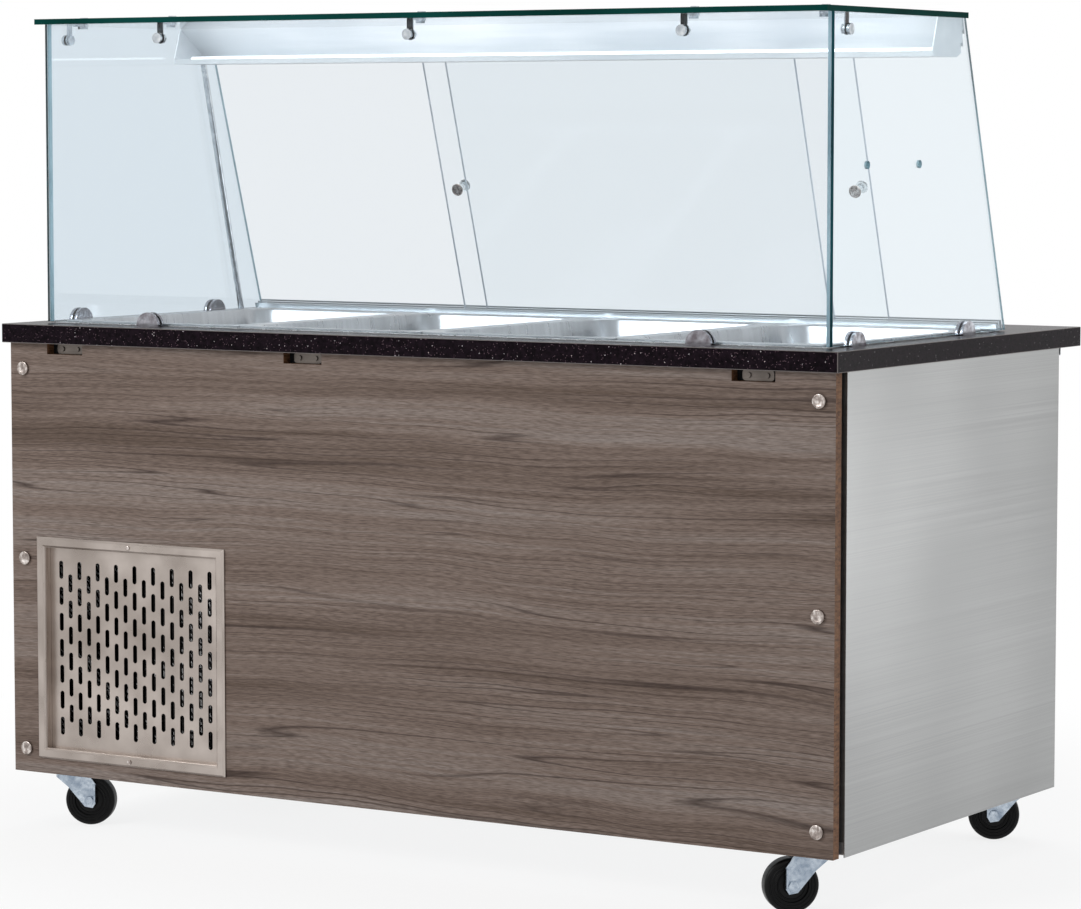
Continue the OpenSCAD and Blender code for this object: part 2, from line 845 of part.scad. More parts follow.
module compressor() {
    r = compressor_d / 2;
    h = compressor_h;
    plate_z = tray_top + foot_h;
    color(dark) translate([compressor_x, compressor_y, 0]) {
        translate([0, 0, plate_z]) {
            difference() {
                translate([-100, -65, 0]) cube([200, 130, 3]);
                for (x = [-85, 85])
                    for (y = [-50, 50])
                        translate([x, y, 0]) pin_z(-1, 4, 4);
            }
            translate([0, 0, 3]) rotate_extrude($fn = 64) polygon([
                [0, 0], [r - 8, 0], [r, 10], [r, h * 0.42], [r + 4, h * 0.42], [r + 4, h * 0.46],
                [r, h * 0.46], [r, h * 0.78], [r * 0.9, h * 0.9], [r * 0.7, h * 0.97], [0, h]
            ]);
        }
        for (side = [-1, 1])
            translate([side * stub_offset, 0, 0])
                pin_z(compressor_base + h * 0.9, stub_z + stub_h, 6);
        for (x = [-85, 85])
            for (y = [-50, 50])
                translate([x, y, 0]) pin_z(tray_top, plate_z, 13);
    }
}

module condenser() {
    half = condenser_w / 2;
    low = tray_top + 12;
    pitch_z = condenser_h / condenser_tubes;
    fin_pitch = (condenser_w - 12) / (condenser_fins - 1);
    color(zinc) {
        for (i = [0:condenser_fins - 1])
            translate([unit_x + (i - (condenser_fins - 1) / 2) * fin_pitch, 0, 0])
                block(
                    [-0.75, condenser_front + 2, low],
                    [0.75, condenser_rear - 2, low + condenser_h]
                );
        for (side = [-1, 1])
            translate([unit_x + side * (half - 1), 0, 0])
                block([-1, condenser_front, tray_top], [1, condenser_rear, condenser_top]);
        for (j = [0:condenser_tubes - 1])
            translate([unit_x, condenser_mid_y, low + (j + 0.5) * pitch_z])
                pin_x(-half - 1, half + 1, pipe_r);
        for (j = [0:condenser_tubes - 2])
            translate([
                unit_x + (j % 2 == 0 ? 1 : -1) * (half + 1), condenser_mid_y, low + (j + 1) * pitch_z
            ])
                rotate([90, j % 2 == 0 ? 90 : -90, 0])
                rotate_extrude(angle = 180, $fn = 48)
                translate([pitch_z / 2, 0]) circle(r = pipe_r, $fn = 24);
        for (x = [inlet_x, outlet_x])
            translate([x, condenser_mid_y, 0])
                pin_z(condenser_top - pitch_z / 2, condenser_top + inlet_stub, pipe_r * 0.9);
    }
}

module fan_shroud() {
    half = condenser_w / 2;
    low = tray_top + plate_rivet_h + gap;
    color(dark) difference() {
        union() {
            block([unit_x - half, condenser_rear, low], [unit_x + half, shroud_rear, condenser_top]);
            translate([unit_x, 0, unit_z])
                pin_y(shroud_rear - eps, shroud_rear + ring_l, ring_r + shroud_sheet);
        }
        block(
            [unit_x - half + shroud_sheet, condenser_rear - 1, low + shroud_sheet],
            [unit_x + half - shroud_sheet, shroud_rear - shroud_sheet, condenser_top - shroud_sheet]
        );
        translate([unit_x, 0, unit_z]) pin_y(shroud_rear - over, shroud_rear + ring_l + over, ring_r);
    }
}

module fan_blade() {
    root_r = hub_r - 3;
    tip_r = fan_d / 2;
    pitch = 28;
    color(rubber) translate([unit_x, fan_front, unit_z]) {
        difference() {
            pin_y(0, hub_l, hub_r);
            pin_y(hub_l - 8, hub_l + 1, hub_r - 4);
        }
        pin_y(hub_l - 9, hub_l + 30, shaft_r);
        for (i = [0:fan_blades - 1])
            intersection() {
                rotate([0, i * 360 / fan_blades, 0]) rotate([0, 0, pitch])
                    translate([-1, -12 + hub_l / 2, root_r]) cube([2, 24, tip_r]);
                pin_y(-6, hub_l + 6, tip_r);
            }
    }
}

module fan_motor() {
    arm = ring_r + 12;
    color(dark) translate([unit_x, 0, unit_z]) {
        difference() {
            union() {
                pin_y(motor_front, motor_front + motor_l, motor_r);
                for (turn = [45, 135, 225, 315])
                    rotate([0, turn, 0]) {
                        translate([0, motor_front, 0])
                            block([-5, 0, motor_r - 3], [5, 4, arm + 5]);
                        translate([0, shroud_rear, 0])
                            block([-5, 0, arm], [5, motor_front - shroud_rear + 4, arm + 5]);
                    }
            }
            pin_y(motor_front - 1, motor_front + shaft_seat, shaft_r + fit);
        }
    }
}

module refrigerant_pipes() {
    coil_end_x = -coil_x - coil_d;
    unit_y = condenser_mid_y;
    top = condenser_top + inlet_stub;
    stub = stub_z + stub_h;
    hot_x = compressor_x + stub_offset;
    cold_x = compressor_x - stub_offset;
    hot_z = top + hot_rise;
    cold_z = stub + suction_rise;
    liquid_z = foam_bottom - liquid_drop;
    color(copper) {
        tube_run([
            [hot_x, compressor_y, stub], [hot_x, compressor_y, hot_z],
            [inlet_x, compressor_y, hot_z], [inlet_x, unit_y, hot_z], [inlet_x, unit_y, top]
        ], pipe_r);
        tube_run([
            [coil_end_x, coil_y1, foam_bottom], [coil_end_x, coil_y1, cold_z],
            [cold_x, coil_y1, cold_z], [cold_x, compressor_y, cold_z], [cold_x, compressor_y, stub]
        ], pipe_r);
        tube_run([
            [coil_end_x, coil_y0, foam_bottom], [coil_end_x, coil_y0, liquid_z],
            [outlet_x, coil_y0, liquid_z], [outlet_x, unit_y, liquid_z], [outlet_x, unit_y, top]
        ], pipe_r);
    }
}

// ---- Back of the cabinet ----

module storage_door(hinge_x, free_x) {
    way = free_x > hinge_x ? 1 : -1;
    handle_x = free_x - way * 40;
    handle_z = (door_bottom + door_top) / 2;
    handle_reach = 70;
    bar = 5;
    color(steel) difference() {
        union() {
            translate([0, 0, door_bottom]) linear_extrude(door_top - door_bottom) {
                translate([min(hinge_x, free_x), door_in_y]) square([abs(free_x - hinge_x), door_t]);
                translate([hinge_x, door_axis_y]) circle(d = door_t, $fn = 32);
            }
            tube_run([
                [handle_x, door_out_y - 2, handle_z - handle_reach],
                [handle_x, door_out_y + handle_out, handle_z - handle_reach],
                [handle_x, door_out_y + handle_out, handle_z + handle_reach],
                [handle_x, door_out_y - 2, handle_z + handle_reach]
            ], bar);
        }
        translate([hinge_x, door_axis_y, 0]) {
            pin_z(door_bottom - 1, door_bottom + pivot_depth, pivot_d / 2 + fit);
            pin_z(door_top - pivot_depth, door_top + 1, pivot_d / 2 + fit);
        }
    }
}

// A folded cover with pressed louvres that lean out over their slots
module service_panel() {
    mid_x = (service_x0 + service_x1) / 2;
    low = door_bottom;
    high = control_z - 1;
    mid_z = (low + high) / 2;
    color(brushed) {
        difference() {
            block([service_x0, body_rear, low], [service_x1, door_out_y, high]);
            block(
                [service_x0 + inner_sheet, body_rear - 1, low + inner_sheet],
                [service_x1 - inner_sheet, door_out_y - inner_sheet, high - inner_sheet]
            );
            louvre_places(mid_x, mid_z)
                block(
                    [-louvre_l / 2, door_out_y - over, -louvre_h / 2],
                    [louvre_l / 2, door_out_y + over, louvre_h / 2]
                );
        }
        louvre_places(mid_x, mid_z) louvre();
    }
}

module louvre_places(mid_x, mid_z)
    for (i = [0:louvre_columns - 1])
        for (j = [0:louvre_rows - 1])
            translate([
                mid_x + (i - (louvre_columns - 1) / 2) * louvre_pitch_x, 0,
                mid_z + (j - (louvre_rows - 1) / 2) * louvre_pitch_z
            ]) children();

module louvre() {
    top = louvre_h / 2;
    out = door_out_y;
    path = [[out - inner_sheet, top + 3], [out + 1, top + 3], [out + 6, -top + 2]];
    along_x(-louvre_l / 2, louvre_l / 2) polygon(folded(path, -inner_sheet));
}

module switch_opening(x)
    translate([x - switch_w / 2, control_mid_z - switch_h / 2]) square([switch_w, switch_h]);

module control_panel() {
    color(brushed) difference() {
        block([service_x0, body_rear, control_z], [service_x1, door_out_y, door_top]);
        block(
            [service_x0 + inner_sheet, body_rear - 1, control_z + inner_sheet],
            [service_x1 - inner_sheet, door_out_y - inner_sheet, door_top - inner_sheet]
        );
        along_y(door_out_y - over, door_out_y + over) {
            for (x = switch_x) switch_opening(x);
            translate([thermostat_x, control_mid_z]) circle(r = 5, $fn = 32);
        }
    }
}

module control_bodies() {
    face = door_out_y;
    inside = 0.3;
    well_h = rocker_h + 4;
    color(rubber) {
        for (x = switch_x)
            translate([x, 0, control_mid_z]) difference() {
                union() {
                    block([-switch_w / 2 + inside, face - 20, -switch_h / 2 + inside],
                        [switch_w / 2 - inside, face + eps, switch_h / 2 - inside]);
                    block([-switch_w / 2 - 2, face, -switch_h / 2 - 2],
                        [switch_w / 2 + 2, face + switch_bezel, switch_h / 2 + 2]);
                }
                block(
                    [-switch_w / 2 + 3, rocker_y - 6, -well_h / 2],
                    [switch_w / 2 - 3, face + over, well_h / 2]
                );
                translate([0, rocker_y, 0]) pin_x(-switch_w / 2 + 1.5, switch_w / 2 - 1.5, 1.5 + fit);
            }
        translate([thermostat_x, 0, control_mid_z]) difference() {
            union() {
                block([-20, face - inner_sheet - 24, -20], [20, face - inner_sheet, 20]);
                pin_y(face - inner_sheet - eps, face + 0.5, 4.8);
            }
            pin_y(face - 16, face + 1, knob_shaft_r + fit);
        }
    }
}

module rocker(x) {
    half = rocker_h / 2;
    w = switch_w / 2 - 3.4;
    color(dark) translate([x, rocker_y, control_mid_z]) rotate([-rocker_tilt, 0, 0]) {
        along_x(-w, w) polygon([[-2, -half], [6, -half], [4.5, 0], [6, half], [-2, half], [-2.6, 0]]);
        pin_x(-w - 1.2, w + 1.2, 1.5);
    }
}

module thermostat_knob() {
    face = door_out_y;
    color(dark) translate([thermostat_x, 0, control_mid_z]) difference() {
        union() {
            pin_y(face + 1, face + 1 + dial_h, dial_r);
            pin_y(face - 15, face + 2, knob_shaft_r);
        }
        for (i = [0:15])
            rotate([0, i * 22.5, 0]) translate([dial_r + 0.6, 0, 0])
                pin_y(face + 3, face + 2 + dial_h, 1.6);
    }
}

// ---- Sneeze guard ----

module bracket_bores_front() for (x = front_bracket_x)
    translate([x, 0, glass_top - bracket_drop]) pin_y(glass_y - 1, glass_in_y + 1, glass_bore_r);

module front_glass() {
    color(glass) difference() {
        block([-glass_x, glass_y, glass_base], [glass_x, glass_in_y, glass_top]);
        bracket_bores_front();
    }
}

module side_glass(holes) {
    start = glass_in_y + 0.4;
    bore_y = side_bracket_y;
    color(glass) along_x(glass_in_x, glass_x) difference() {
        polygon([
            [start, glass_base], [glass_rear_y, glass_base],
            [glass_rear_top_y, glass_top], [start, glass_top]
        ]);
        translate([bore_y, glass_top - bracket_drop]) circle(r = glass_bore_r, $fn = 32);
        if (holes)
            for (i = [0, 1])
                translate([glass_hole_y + i * glass_hole_pitch, glass_hole_z])
                    circle(d = glass_hole_d, $fn = 32);
    }
}

module bracket_places() {
    for (x = front_bracket_x) translate([x, glass_in_y, glass_top]) children();
    translate([glass_in_x, side_bracket_y, glass_top]) rotate([0, 0, 90]) children();
    translate([-glass_in_x, side_bracket_y, glass_top]) rotate([0, 0, -90]) children();
}

module canopy_bolt_places()
    for (x = [-canopy_bolt_x, canopy_bolt_x]) translate([x, canopy_bolt_y, glass_top]) children();

module top_glass() {
    color(glass) difference() {
        block(
            [-glass_x - top_side, glass_y - top_front, glass_top],
            [glass_x + top_side, glass_rear_top_y, glass_top + glass_t]
        );
        bracket_places() translate([0, bracket_reach, 0]) pin_z(-1, glass_t + 1, glass_bore_r);
        canopy_bolt_places() pin_z(-1, glass_t + 1, glass_bore_r);
    }
}

module shoe_places() {
    for (x = front_shoe_x) translate([x, glass_y, worktop_h]) children();
    for (y = side_shoe_y) {
        translate([glass_x, y, worktop_h]) rotate([0, 0, 90]) children();
        translate([-glass_x, y, worktop_h]) rotate([0, 0, -90]) children();
    }
}

// A half-round clamp; the glass stands on its floor and a set screw presses from inside
module glass_shoe() {
    back = glass_t + shoe_fit + shoe_in;
    difference() {
        pin_y(-shoe_fit - shoe_out, back, shoe_r);
        block([-shoe_r - 1, -shoe_out - 2, -shoe_r - 1], [shoe_r + 1, back + 1, 0]);
        block([-shoe_r - 1, -shoe_fit, glass_lift], [shoe_r + 1, glass_t + shoe_fit, shoe_r + 1]);
        // The inner half stands on the well flange
        block([-shoe_r - 1, glass_t + shoe_fit, -1], [shoe_r + 1, back + 1, well_sheet]);
        translate([0, 0, shoe_r / 2]) pin_y(glass_t, back + 1, set_screw_r + 0.2);
    }
    translate([0, 0, shoe_r / 2]) pin_y(glass_t + shoe_fit, back, set_screw_r);
}

module glass_shoes() color(brushed) shoe_places() glass_shoe();

module bracket_strap() {
    half = bracket_w / 2;
    round_r = 8;
    difference() {
        union() {
            block([-half, 0, -bracket_drop], [half, bracket_t, 0]);
            block([-half, 0, -bracket_t], [half, bracket_reach, 0]);
            translate([0, 0, -bracket_drop]) pin_y(0, bracket_t, round_r);
            translate([0, bracket_reach, 0]) pin_z(-bracket_t, 0, round_r);
        }
        translate([0, 0, -bracket_drop]) pin_y(-1, bracket_t + 1, bolt_bore_r);
        translate([0, bracket_reach, 0]) pin_z(-bracket_t - 1, 1, bolt_bore_r);
    }
}

module nut() difference() {
    cylinder(r = nut_r, h = nut_h, $fn = 6);
    pin_z(-1, nut_h + 1, bolt_r + fit);
}

module upper_bolt(head_r) {
    pin_z(glass_t, glass_t + 3, head_r);
    pin_z(-bracket_t - nut_h, glass_t + eps, bolt_r);
}

module glass_brackets() {
    color(brushed) {
        bracket_places() {
            bracket_strap();
            translate([0, 0, -bracket_drop]) {
                pin_y(-glass_t - button_h, -glass_t, button_r);
                pin_y(-glass_t - eps, bracket_t + nut_h, bolt_r);
                translate([0, bracket_t + nut_h, 0]) rotate([90, 0, 0]) nut();
            }
            translate([0, bracket_reach, 0]) {
                upper_bolt(6);
                translate([0, 0, -bracket_t - nut_h]) nut();
            }
        }
        canopy_bolt_places() {
            upper_bolt(6);
            translate([0, 0, -canopy_sheet - nut_h]) nut();
        }
    }
}

// The canopy's rear steps, from its floor up to the top glass
canopy_steps = [
    leaning(front_pane_n - 5, lower_ledge_u - 14), leaning(front_pane_n - 5, lower_ledge_u),
    leaning(front_pane_n + pane_spacing / 2, lower_ledge_u),
    leaning(front_pane_n + pane_spacing / 2, upper_ledge_u),
    leaning(rear_pane_n + pane_spacing / 2, upper_ledge_u),
    [glass_rear_top_y - 0.7, glass_top]
];
canopy_lip = [[canopy_lip_y - 1, canopy_floor + 7.7], [canopy_lip_y, canopy_floor]];
canopy_base = concat(canopy_lip, [[canopy_bend_y, canopy_floor]], canopy_steps);

module canopy_shell() {
    reflector = [
        [canopy_front_top_y, glass_top], [canopy_bend_y - 2, glass_top - 40],
        [canopy_bend_y - 2, canopy_floor + canopy_sheet + gap]
    ];
    x = canopy_x - canopy_plate;
    color(brushed) difference() {
        along_x(-x, x) polygon(folded(concat(canopy_base, reflector), canopy_sheet));
        canopy_bolt_places() pin_z(-canopy_sheet - 1, 1, bolt_bore_r);
    }
}

module canopy_end_plates() {
    outline = concat(canopy_base, [[canopy_front_top_y - 1, glass_top]]);
    color(brushed) for (side = [0, 1])
        mirror([side, 0, 0]) {
            along_x(canopy_x - canopy_plate, canopy_x) polygon(outline);
            translate([0, canopy_bolt_y, glass_top - canopy_bolt_drop])
                pin_x(canopy_x - canopy_plate - 3, canopy_x - canopy_plate, 3.8);
        }
}

module light_batten() {
    low = canopy_floor + canopy_sheet;
    y = canopy_lip_y + 4;
    color("white") along_x(-batten_light_x, batten_light_x)
        polygon([
            [y, low], [y + 18, low], [y + 18, low + 7],
            [y + 14, low + 10], [y + 4, low + 10], [y, low + 7]
        ]);
}

// A thin tube that takes the lamp's cable up from the deck
module conduit_post() {
    foot = worktop_h + well_sheet;
    x = -glass_in_x + 6;
    run = [0, post_head_y - post_foot_y, canopy_floor - foot];
    tilt = atan2(-run[1], run[2]);
    color(steel) difference() {
        translate([x, post_foot_y, foot]) rotate([tilt, 0, 0])
            difference() {
                pin_z(-over, norm(run) + over, post_tube_r);
                pin_z(-over - 1, norm(run) + over + 1, post_tube_r - post_tube_wall);
            }
        block([x - 20, post_foot_y - 30, foot - 20], [x + 20, post_foot_y + 30, foot]);
        block([x - 20, post_head_y - 30, canopy_floor], [x + 20, post_head_y + 30, canopy_floor + 20]);
    }
}

module top_channel(n, u) {
    wall = channel_wall;
    leaning_frame() difference() {
        block(
            [-glass_in_x + 1.2, n - channel_half, u - channel_d],
            [glass_in_x - 1.2, n + channel_half, u]
        );
        block(
            [-glass_in_x, n - channel_half + wall, u - channel_d - 1],
            [glass_in_x, n + channel_half - wall, u - wall]
        );
    }
}

module top_track() {
    color(zinc) {
        top_channel(front_pane_n, lower_ledge_u - fit);
        top_channel(rear_pane_n, upper_ledge_u - fit);
    }
}

// The lowest u at which a pane's front edge clears the track's floor
function pane_foot(n) = (pane_floor_z - glass_base - (n - pane_t / 2) * sin(lean)) / cos(lean);

module bottom_track() {
    outer = pane_t / 2 + pane_fit + track_wall;
    x = glass_in_x - 1;
    color(zinc) difference() {
        leaning_frame()
            block([-x, front_pane_n - outer, -12], [x, rear_pane_n + outer, track_u]);
        block([-x - 1, glass_rear_y - 60, worktop_h - 40], [x + 1, glass_rear_y + 20, worktop_h]);
        leaning_frame() for (n = [front_pane_n, rear_pane_n])
            block(
                [-x - 1, n - pane_t / 2 - pane_fit, pane_foot(n) - gap],
                [x + 1, n + pane_t / 2 + pane_fit, track_u + 1]
            );
    }
}

module sliding_pane(x0, w, n, ledge_u, knob_x) {
    color(glass) leaning_frame() difference() {
        block(
            [x0, n - pane_t / 2, pane_foot(n)],
            [x0 + w, n + pane_t / 2, ledge_u - channel_wall - pane_top_gap]
        );
        translate([knob_x, 0, knob_u]) pin_y(n - pane_t, n + pane_t, knob_bore_r);
    }
}

// A clear knob on the staff's side, held by a steel disc and its stud
module pane_knob(n, knob_x) {
    leaning_frame() translate([knob_x, n, knob_u]) {
        color(glass) pin_y(pane_t / 2, pane_t / 2 + knob_l, knob_d / 2);
        color(zinc) {
            pin_y(-pane_t / 2 - knob_disc_h, -pane_t / 2, knob_d / 2 - 0.2);
            pin_y(-pane_t / 2 - eps, pane_t / 2, bolt_r);
        }
    }
}

front_knob_x = front_pane_x + knob_edge;
rear_knob_x = rear_pane_x + rear_pane_w - knob_edge;

// ---- Casters ----

module at_caster(c) translate([c[0], c[1], 0]) rotate([0, 0, c[2]]) children();

module plate_bolt_places() {
    reach = caster_plate / 2 - plate_bolt_inset;
    for (x = [-reach, reach])
        for (y = [-reach, reach])
            translate([x, y, 0]) children();
}

module caster_plates() {
    half = caster_plate / 2;
    color(zinc) for (c = [caster_fl, caster_fr, caster_rl, caster_rr])
        translate([c[0], c[1], 0]) {
            difference() {
                block([-half, -half, caster_h - plate_t], [half, half, caster_h]);
                plate_bolt_places() pin_z(caster_h - plate_t - 1, caster_h + 1, plate_bore_r);
            }
            plate_bolt_places() {
                pin_z(caster_h - plate_t - plate_head_h, caster_h - plate_t, plate_head_r);
                pin_z(caster_h - plate_t - 1, tray_top + eps, plate_bolt_r);
                pin_z(tray_top, tray_top + plate_rivet_h, plate_head_r);
            }
            rotate_extrude($fn = 48) polygon([
                [0, crown_z - 2.5], [kingpin_head_r, crown_z - 2.5], [kingpin_head_r, crown_z - gap],
                [kingpin_r, crown_z - gap], [kingpin_r, race_split + gap], [race_r - 2, race_split + gap],
                [race_r, race_split + 3],
                [race_r - 4, caster_h - plate_t + eps], [0, caster_h - plate_t + eps]
            ]);
        }
}

// A pressed fork: two legs cut slantwise toward the swivel axis, a crown and the lower race
module fork(c) {
    s = caster_trail;
    leg = [
        [-race_r, crown_z + fork_t], [s - 4, crown_z + fork_t], [s + 10, crown_z - 17],
        [s + 10, axle_z - 3], [s + 5, axle_z - 11], [s - 7, axle_z - 9],
        [-4, crown_z - 21], [-race_r, crown_z - 6]
    ];
    flange = 5;
    head_y = fork_in + fork_t + fit;
    color(zinc) at_caster(c) {
        difference() {
            union() {
                for (side = [-1, 1])
                    translate([0, side * (fork_in + fork_t / 2), 0])
                        along_y(-fork_t / 2, fork_t / 2) polygon(leg);
                // Out-turned flange along each leg's rear edge
                for (side = [0, 1])
                    mirror([0, side, 0])
                        block(
                            [s + 10 - fork_t, fork_in, axle_z - 3],
                            [s + 10, fork_in + fork_t + flange, crown_z - 17]
                        );
                block([-race_r, -fork_in - fork_t, crown_z], [s - 4, fork_in + fork_t, crown_z + fork_t]);
                pin_z(crown_z + fork_t - 1, race_split - gap, race_r - 1);
            }
            pin_z(crown_z - 1, race_split + 1, kingpin_r + fit);
            translate([s, 0, axle_z]) pin_y(-30, 30, axle_r + fit);
        }
        // The axle bolt with its head and nut
        translate([s, 0, axle_z]) {
            pin_y(-head_y - bolt_head_h, head_y + bolt_head_h, axle_r);
            for (y = [-head_y, head_y + bolt_head_h])
                translate([0, y, 0]) rotate([90, 0, 0])
                    cylinder(r = bolt_head_r, h = bolt_head_h, $fn = 6);
        }
    }
}

// A solid tyre on a ribbed hub
module wheel(c) {
    r = wheel_d / 2;
    w = wheel_w / 2;
    color(rubber) at_caster(c) translate([caster_trail, 0, axle_z]) rotate([90, 0, 0])
        rotate_extrude($fn = 96) polygon([
            [axle_r + fit, -w - 1], [10, -w - 1], [11, -w + 3], [r - 16, -w + 3], [r - 15, -w],
            [r - 4, -w], [r - 1, -w + 3], [r, -w + 7], [r, w - 7], [r - 1, w - 3], [r - 4, w],
            [r - 15, w], [r - 16, w - 3], [11, w - 3], [10, w + 1], [axle_r + fit, w + 1]
        ]);
}

worktop();
well_liner();
well_insulation();
pan_divider_bars();
cooling_coil();
base_tray();
carcass_frame();
mirror([1, 0, 0]) side_panel();  // side_panel_left
side_panel();  // side_panel_right
front_panel();
panel_battens();
panel_screws();
rail_brackets();
grille_frame();
grille_plate();
partition();
shelf();
compressor();
condenser();
fan_shroud();
fan_motor();
refrigerant_pipes();
service_panel();
control_panel();
control_bodies();
front_glass();
mirror([1, 0, 0]) side_glass(false);  // side_glass_left
side_glass(true);  // side_glass_right
top_glass();
glass_shoes();
glass_brackets();
canopy_shell();
canopy_end_plates();
light_batten();
conduit_post();
top_track();
bottom_track();
caster_plates();
pan(1);  // pan_1
pan(2);  // pan_2
pan(3);  // pan_3
pan(4);  // pan_4
sliding_pane(front_pane_x, front_pane_w, front_pane_n, lower_ledge_u, front_knob_x);  // sliding_pane_front
sliding_pane(rear_pane_x, rear_pane_w, rear_pane_n, upper_ledge_u, rear_knob_x);  // sliding_pane_rear
pane_knob(front_pane_n, front_knob_x);  // pane_knob_front
pane_knob(rear_pane_n, rear_knob_x);  // pane_knob_rear
storage_door(door_left_x + door_t / 2, door_mid_x - door_split / 2);  // storage_door_left
storage_door(door_right_x - door_t / 2, door_mid_x + door_split / 2);  // storage_door_right
fan_blade();
rocker(switch_x[0]);  // light_switch
rocker(switch_x[1]);  // power_switch
thermostat_knob();
fork(caster_fl);  // fork_front_left
fork(caster_fr);  // fork_front_right
fork(caster_rl);  // fork_rear_left
fork(caster_rr);  // fork_rear_right
wheel(caster_fl);  // wheel_front_left
wheel(caster_fr);  // wheel_front_right
wheel(caster_rl);  // wheel_rear_left
wheel(caster_rr);  // wheel_rear_right
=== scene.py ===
# %% [markdown]
# # A mobile salad bar, dressed for its portrait
# The construction comes in as a fixed frame of solids. This file gives every surface its real
# finish, and remodels the pieces whose rounded edges catch the light: the stone slab, the
# pressed pans, the caster wheels, the capped screws and the turned knobs.

# %% Load the frame
import json
import math

import bpy
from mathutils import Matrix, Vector


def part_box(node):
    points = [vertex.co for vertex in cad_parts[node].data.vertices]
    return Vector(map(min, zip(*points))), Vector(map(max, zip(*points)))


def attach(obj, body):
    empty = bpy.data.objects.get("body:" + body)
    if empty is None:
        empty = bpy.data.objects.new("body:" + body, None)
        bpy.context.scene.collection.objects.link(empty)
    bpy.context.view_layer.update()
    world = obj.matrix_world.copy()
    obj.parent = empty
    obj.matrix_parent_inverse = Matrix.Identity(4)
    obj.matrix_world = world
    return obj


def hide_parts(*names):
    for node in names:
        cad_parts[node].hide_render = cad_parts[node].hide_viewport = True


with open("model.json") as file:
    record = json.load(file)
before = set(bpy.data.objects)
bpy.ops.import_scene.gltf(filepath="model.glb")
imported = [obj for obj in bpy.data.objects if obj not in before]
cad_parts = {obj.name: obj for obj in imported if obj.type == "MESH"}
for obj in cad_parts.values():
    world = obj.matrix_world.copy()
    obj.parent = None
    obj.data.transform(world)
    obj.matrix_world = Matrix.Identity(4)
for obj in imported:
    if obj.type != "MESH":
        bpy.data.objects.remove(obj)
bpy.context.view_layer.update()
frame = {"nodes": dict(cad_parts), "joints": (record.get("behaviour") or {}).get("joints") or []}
nodes = frame["nodes"]
MM = 0.001

# %% [markdown]
# A shader is a small graph. One helper adds a node, sets its sockets and links what feeds it,
# so each material below reads as a list of what the finish is made of. Colours are written as
# sRGB hex, as a paint card gives them, and turned to linear light in one place. Patterns are
# laid out on the object's own coordinates, so that their sizes are real millimetres.


# %% Node and colour helpers
def linear(hex_colour):
    parts = [int(hex_colour[i:i + 2], 16) / 255 for i in (1, 3, 5)]
    return tuple(c / 12.92 if c <= 0.04045 else ((c + 0.055) / 1.055) ** 2.4 for c in parts) + (1.0,)


def add(tree, kind, sockets=None, stops=(), **settings):
    """Adds one node. A socket is given a value, another node's socket, or a node's first output."""
    node = tree.nodes.new("ShaderNode" + kind)
    for name, value in settings.items():
        setattr(node, name, value)
    for name, value in (sockets or {}).items():
        if isinstance(value, bpy.types.Node):
            value = value.outputs[0]
        if isinstance(value, bpy.types.NodeSocket):
            tree.links.new(value, node.inputs[name])
        else:
            node.inputs[name].default_value = value
    for number, (place, colour) in enumerate(stops):
        if number >= len(node.color_ramp.elements):
            node.color_ramp.elements.new(place)
        node.color_ramp.elements[number].position = place
        node.color_ramp.elements[number].color = linear(colour)
    return node


def start(name):
    material = bpy.data.materials.new(name)
    material.use_nodes = True
    material.node_tree.nodes.clear()
    return material, material.node_tree


def measured(tree, spacing_mm, place=None):
    """Object coordinates stretched so that a pattern of scale 1 repeats every spacing_mm."""
    place = place or add(tree, "TexCoord").outputs["Object"]
    scale = tuple(1 / (s * MM) for s in spacing_mm)
    return add(tree, "Mapping", {"Vector": place, "Scale": scale})


print("mid grey #808080 is", round(linear("#808080")[0], 3), "in linear light")

# %% [markdown]
# Stainless sheet looks the way it was finished, and metal is a mirror at heart: its colour is
# the colour of what it reflects. A brushed face has fine scratches in one direction, so its
# noise is stretched a hundred times along the brushing, and highlights smear across the lines.
# The real scratches are 0.2 mm apart. They are drawn six times coarser, or they would vanish.


# %% Metals
def metal(name, colours, roughness, spacing_mm, bump_mm, cloud_mm=300, metallic=1.0):
    material, tree = start(name)
    lines = add(tree, "TexNoise", {"Vector": measured(tree, spacing_mm), "Scale": 1.0, "Detail": 3.0})
    cloud_place = measured(tree, (cloud_mm, cloud_mm, cloud_mm))
    clouds = add(tree, "TexNoise", {"Vector": cloud_place, "Scale": 1.0, "Detail": 1.0})
    tone = add(tree, "Math", {0: lines, 1: clouds, 2: 0.25}, operation="MULTIPLY_ADD")
    polish = add(tree, "MapRange", {
        "Value": lines, "From Min": 0.3, "From Max": 0.7, "To Min": roughness[0], "To Max": roughness[1],
    })
    shader = add(tree, "BsdfPrincipled", {
        "Base Color": add(tree, "ValToRGB", {"Fac": tone}, [(0.35, colours[0]), (0.65, colours[1])]),
        "Metallic": metallic,
        "Roughness": polish,
        "Normal": add(tree, "Bump", {"Height": lines, "Distance": bump_mm * MM}),
    })
    add(tree, "OutputMaterial", {"Surface": shader})
    return material


# Sheet brushed along the counter: a quiet grey with faint level lines and no clear reflection
side_steel = metal("brushed_stainless_side", ("#8f9090", "#9fa0a0"), (0.28, 0.38), (60, 900, 1.3), 0.02)
back_steel = metal("brushed_stainless_back", ("#aeafb0", "#bebfc0"), (0.34, 0.44), (900, 60, 1.3), 0.02)
# Satin sheet as it leaves the mill: even, with soft wide reflections of what stands on it
satin_steel = metal("satin_stainless_sheet", ("#d2d6d9", "#e2e5e8"), (0.22, 0.32), (40, 40, 40), 0.004)
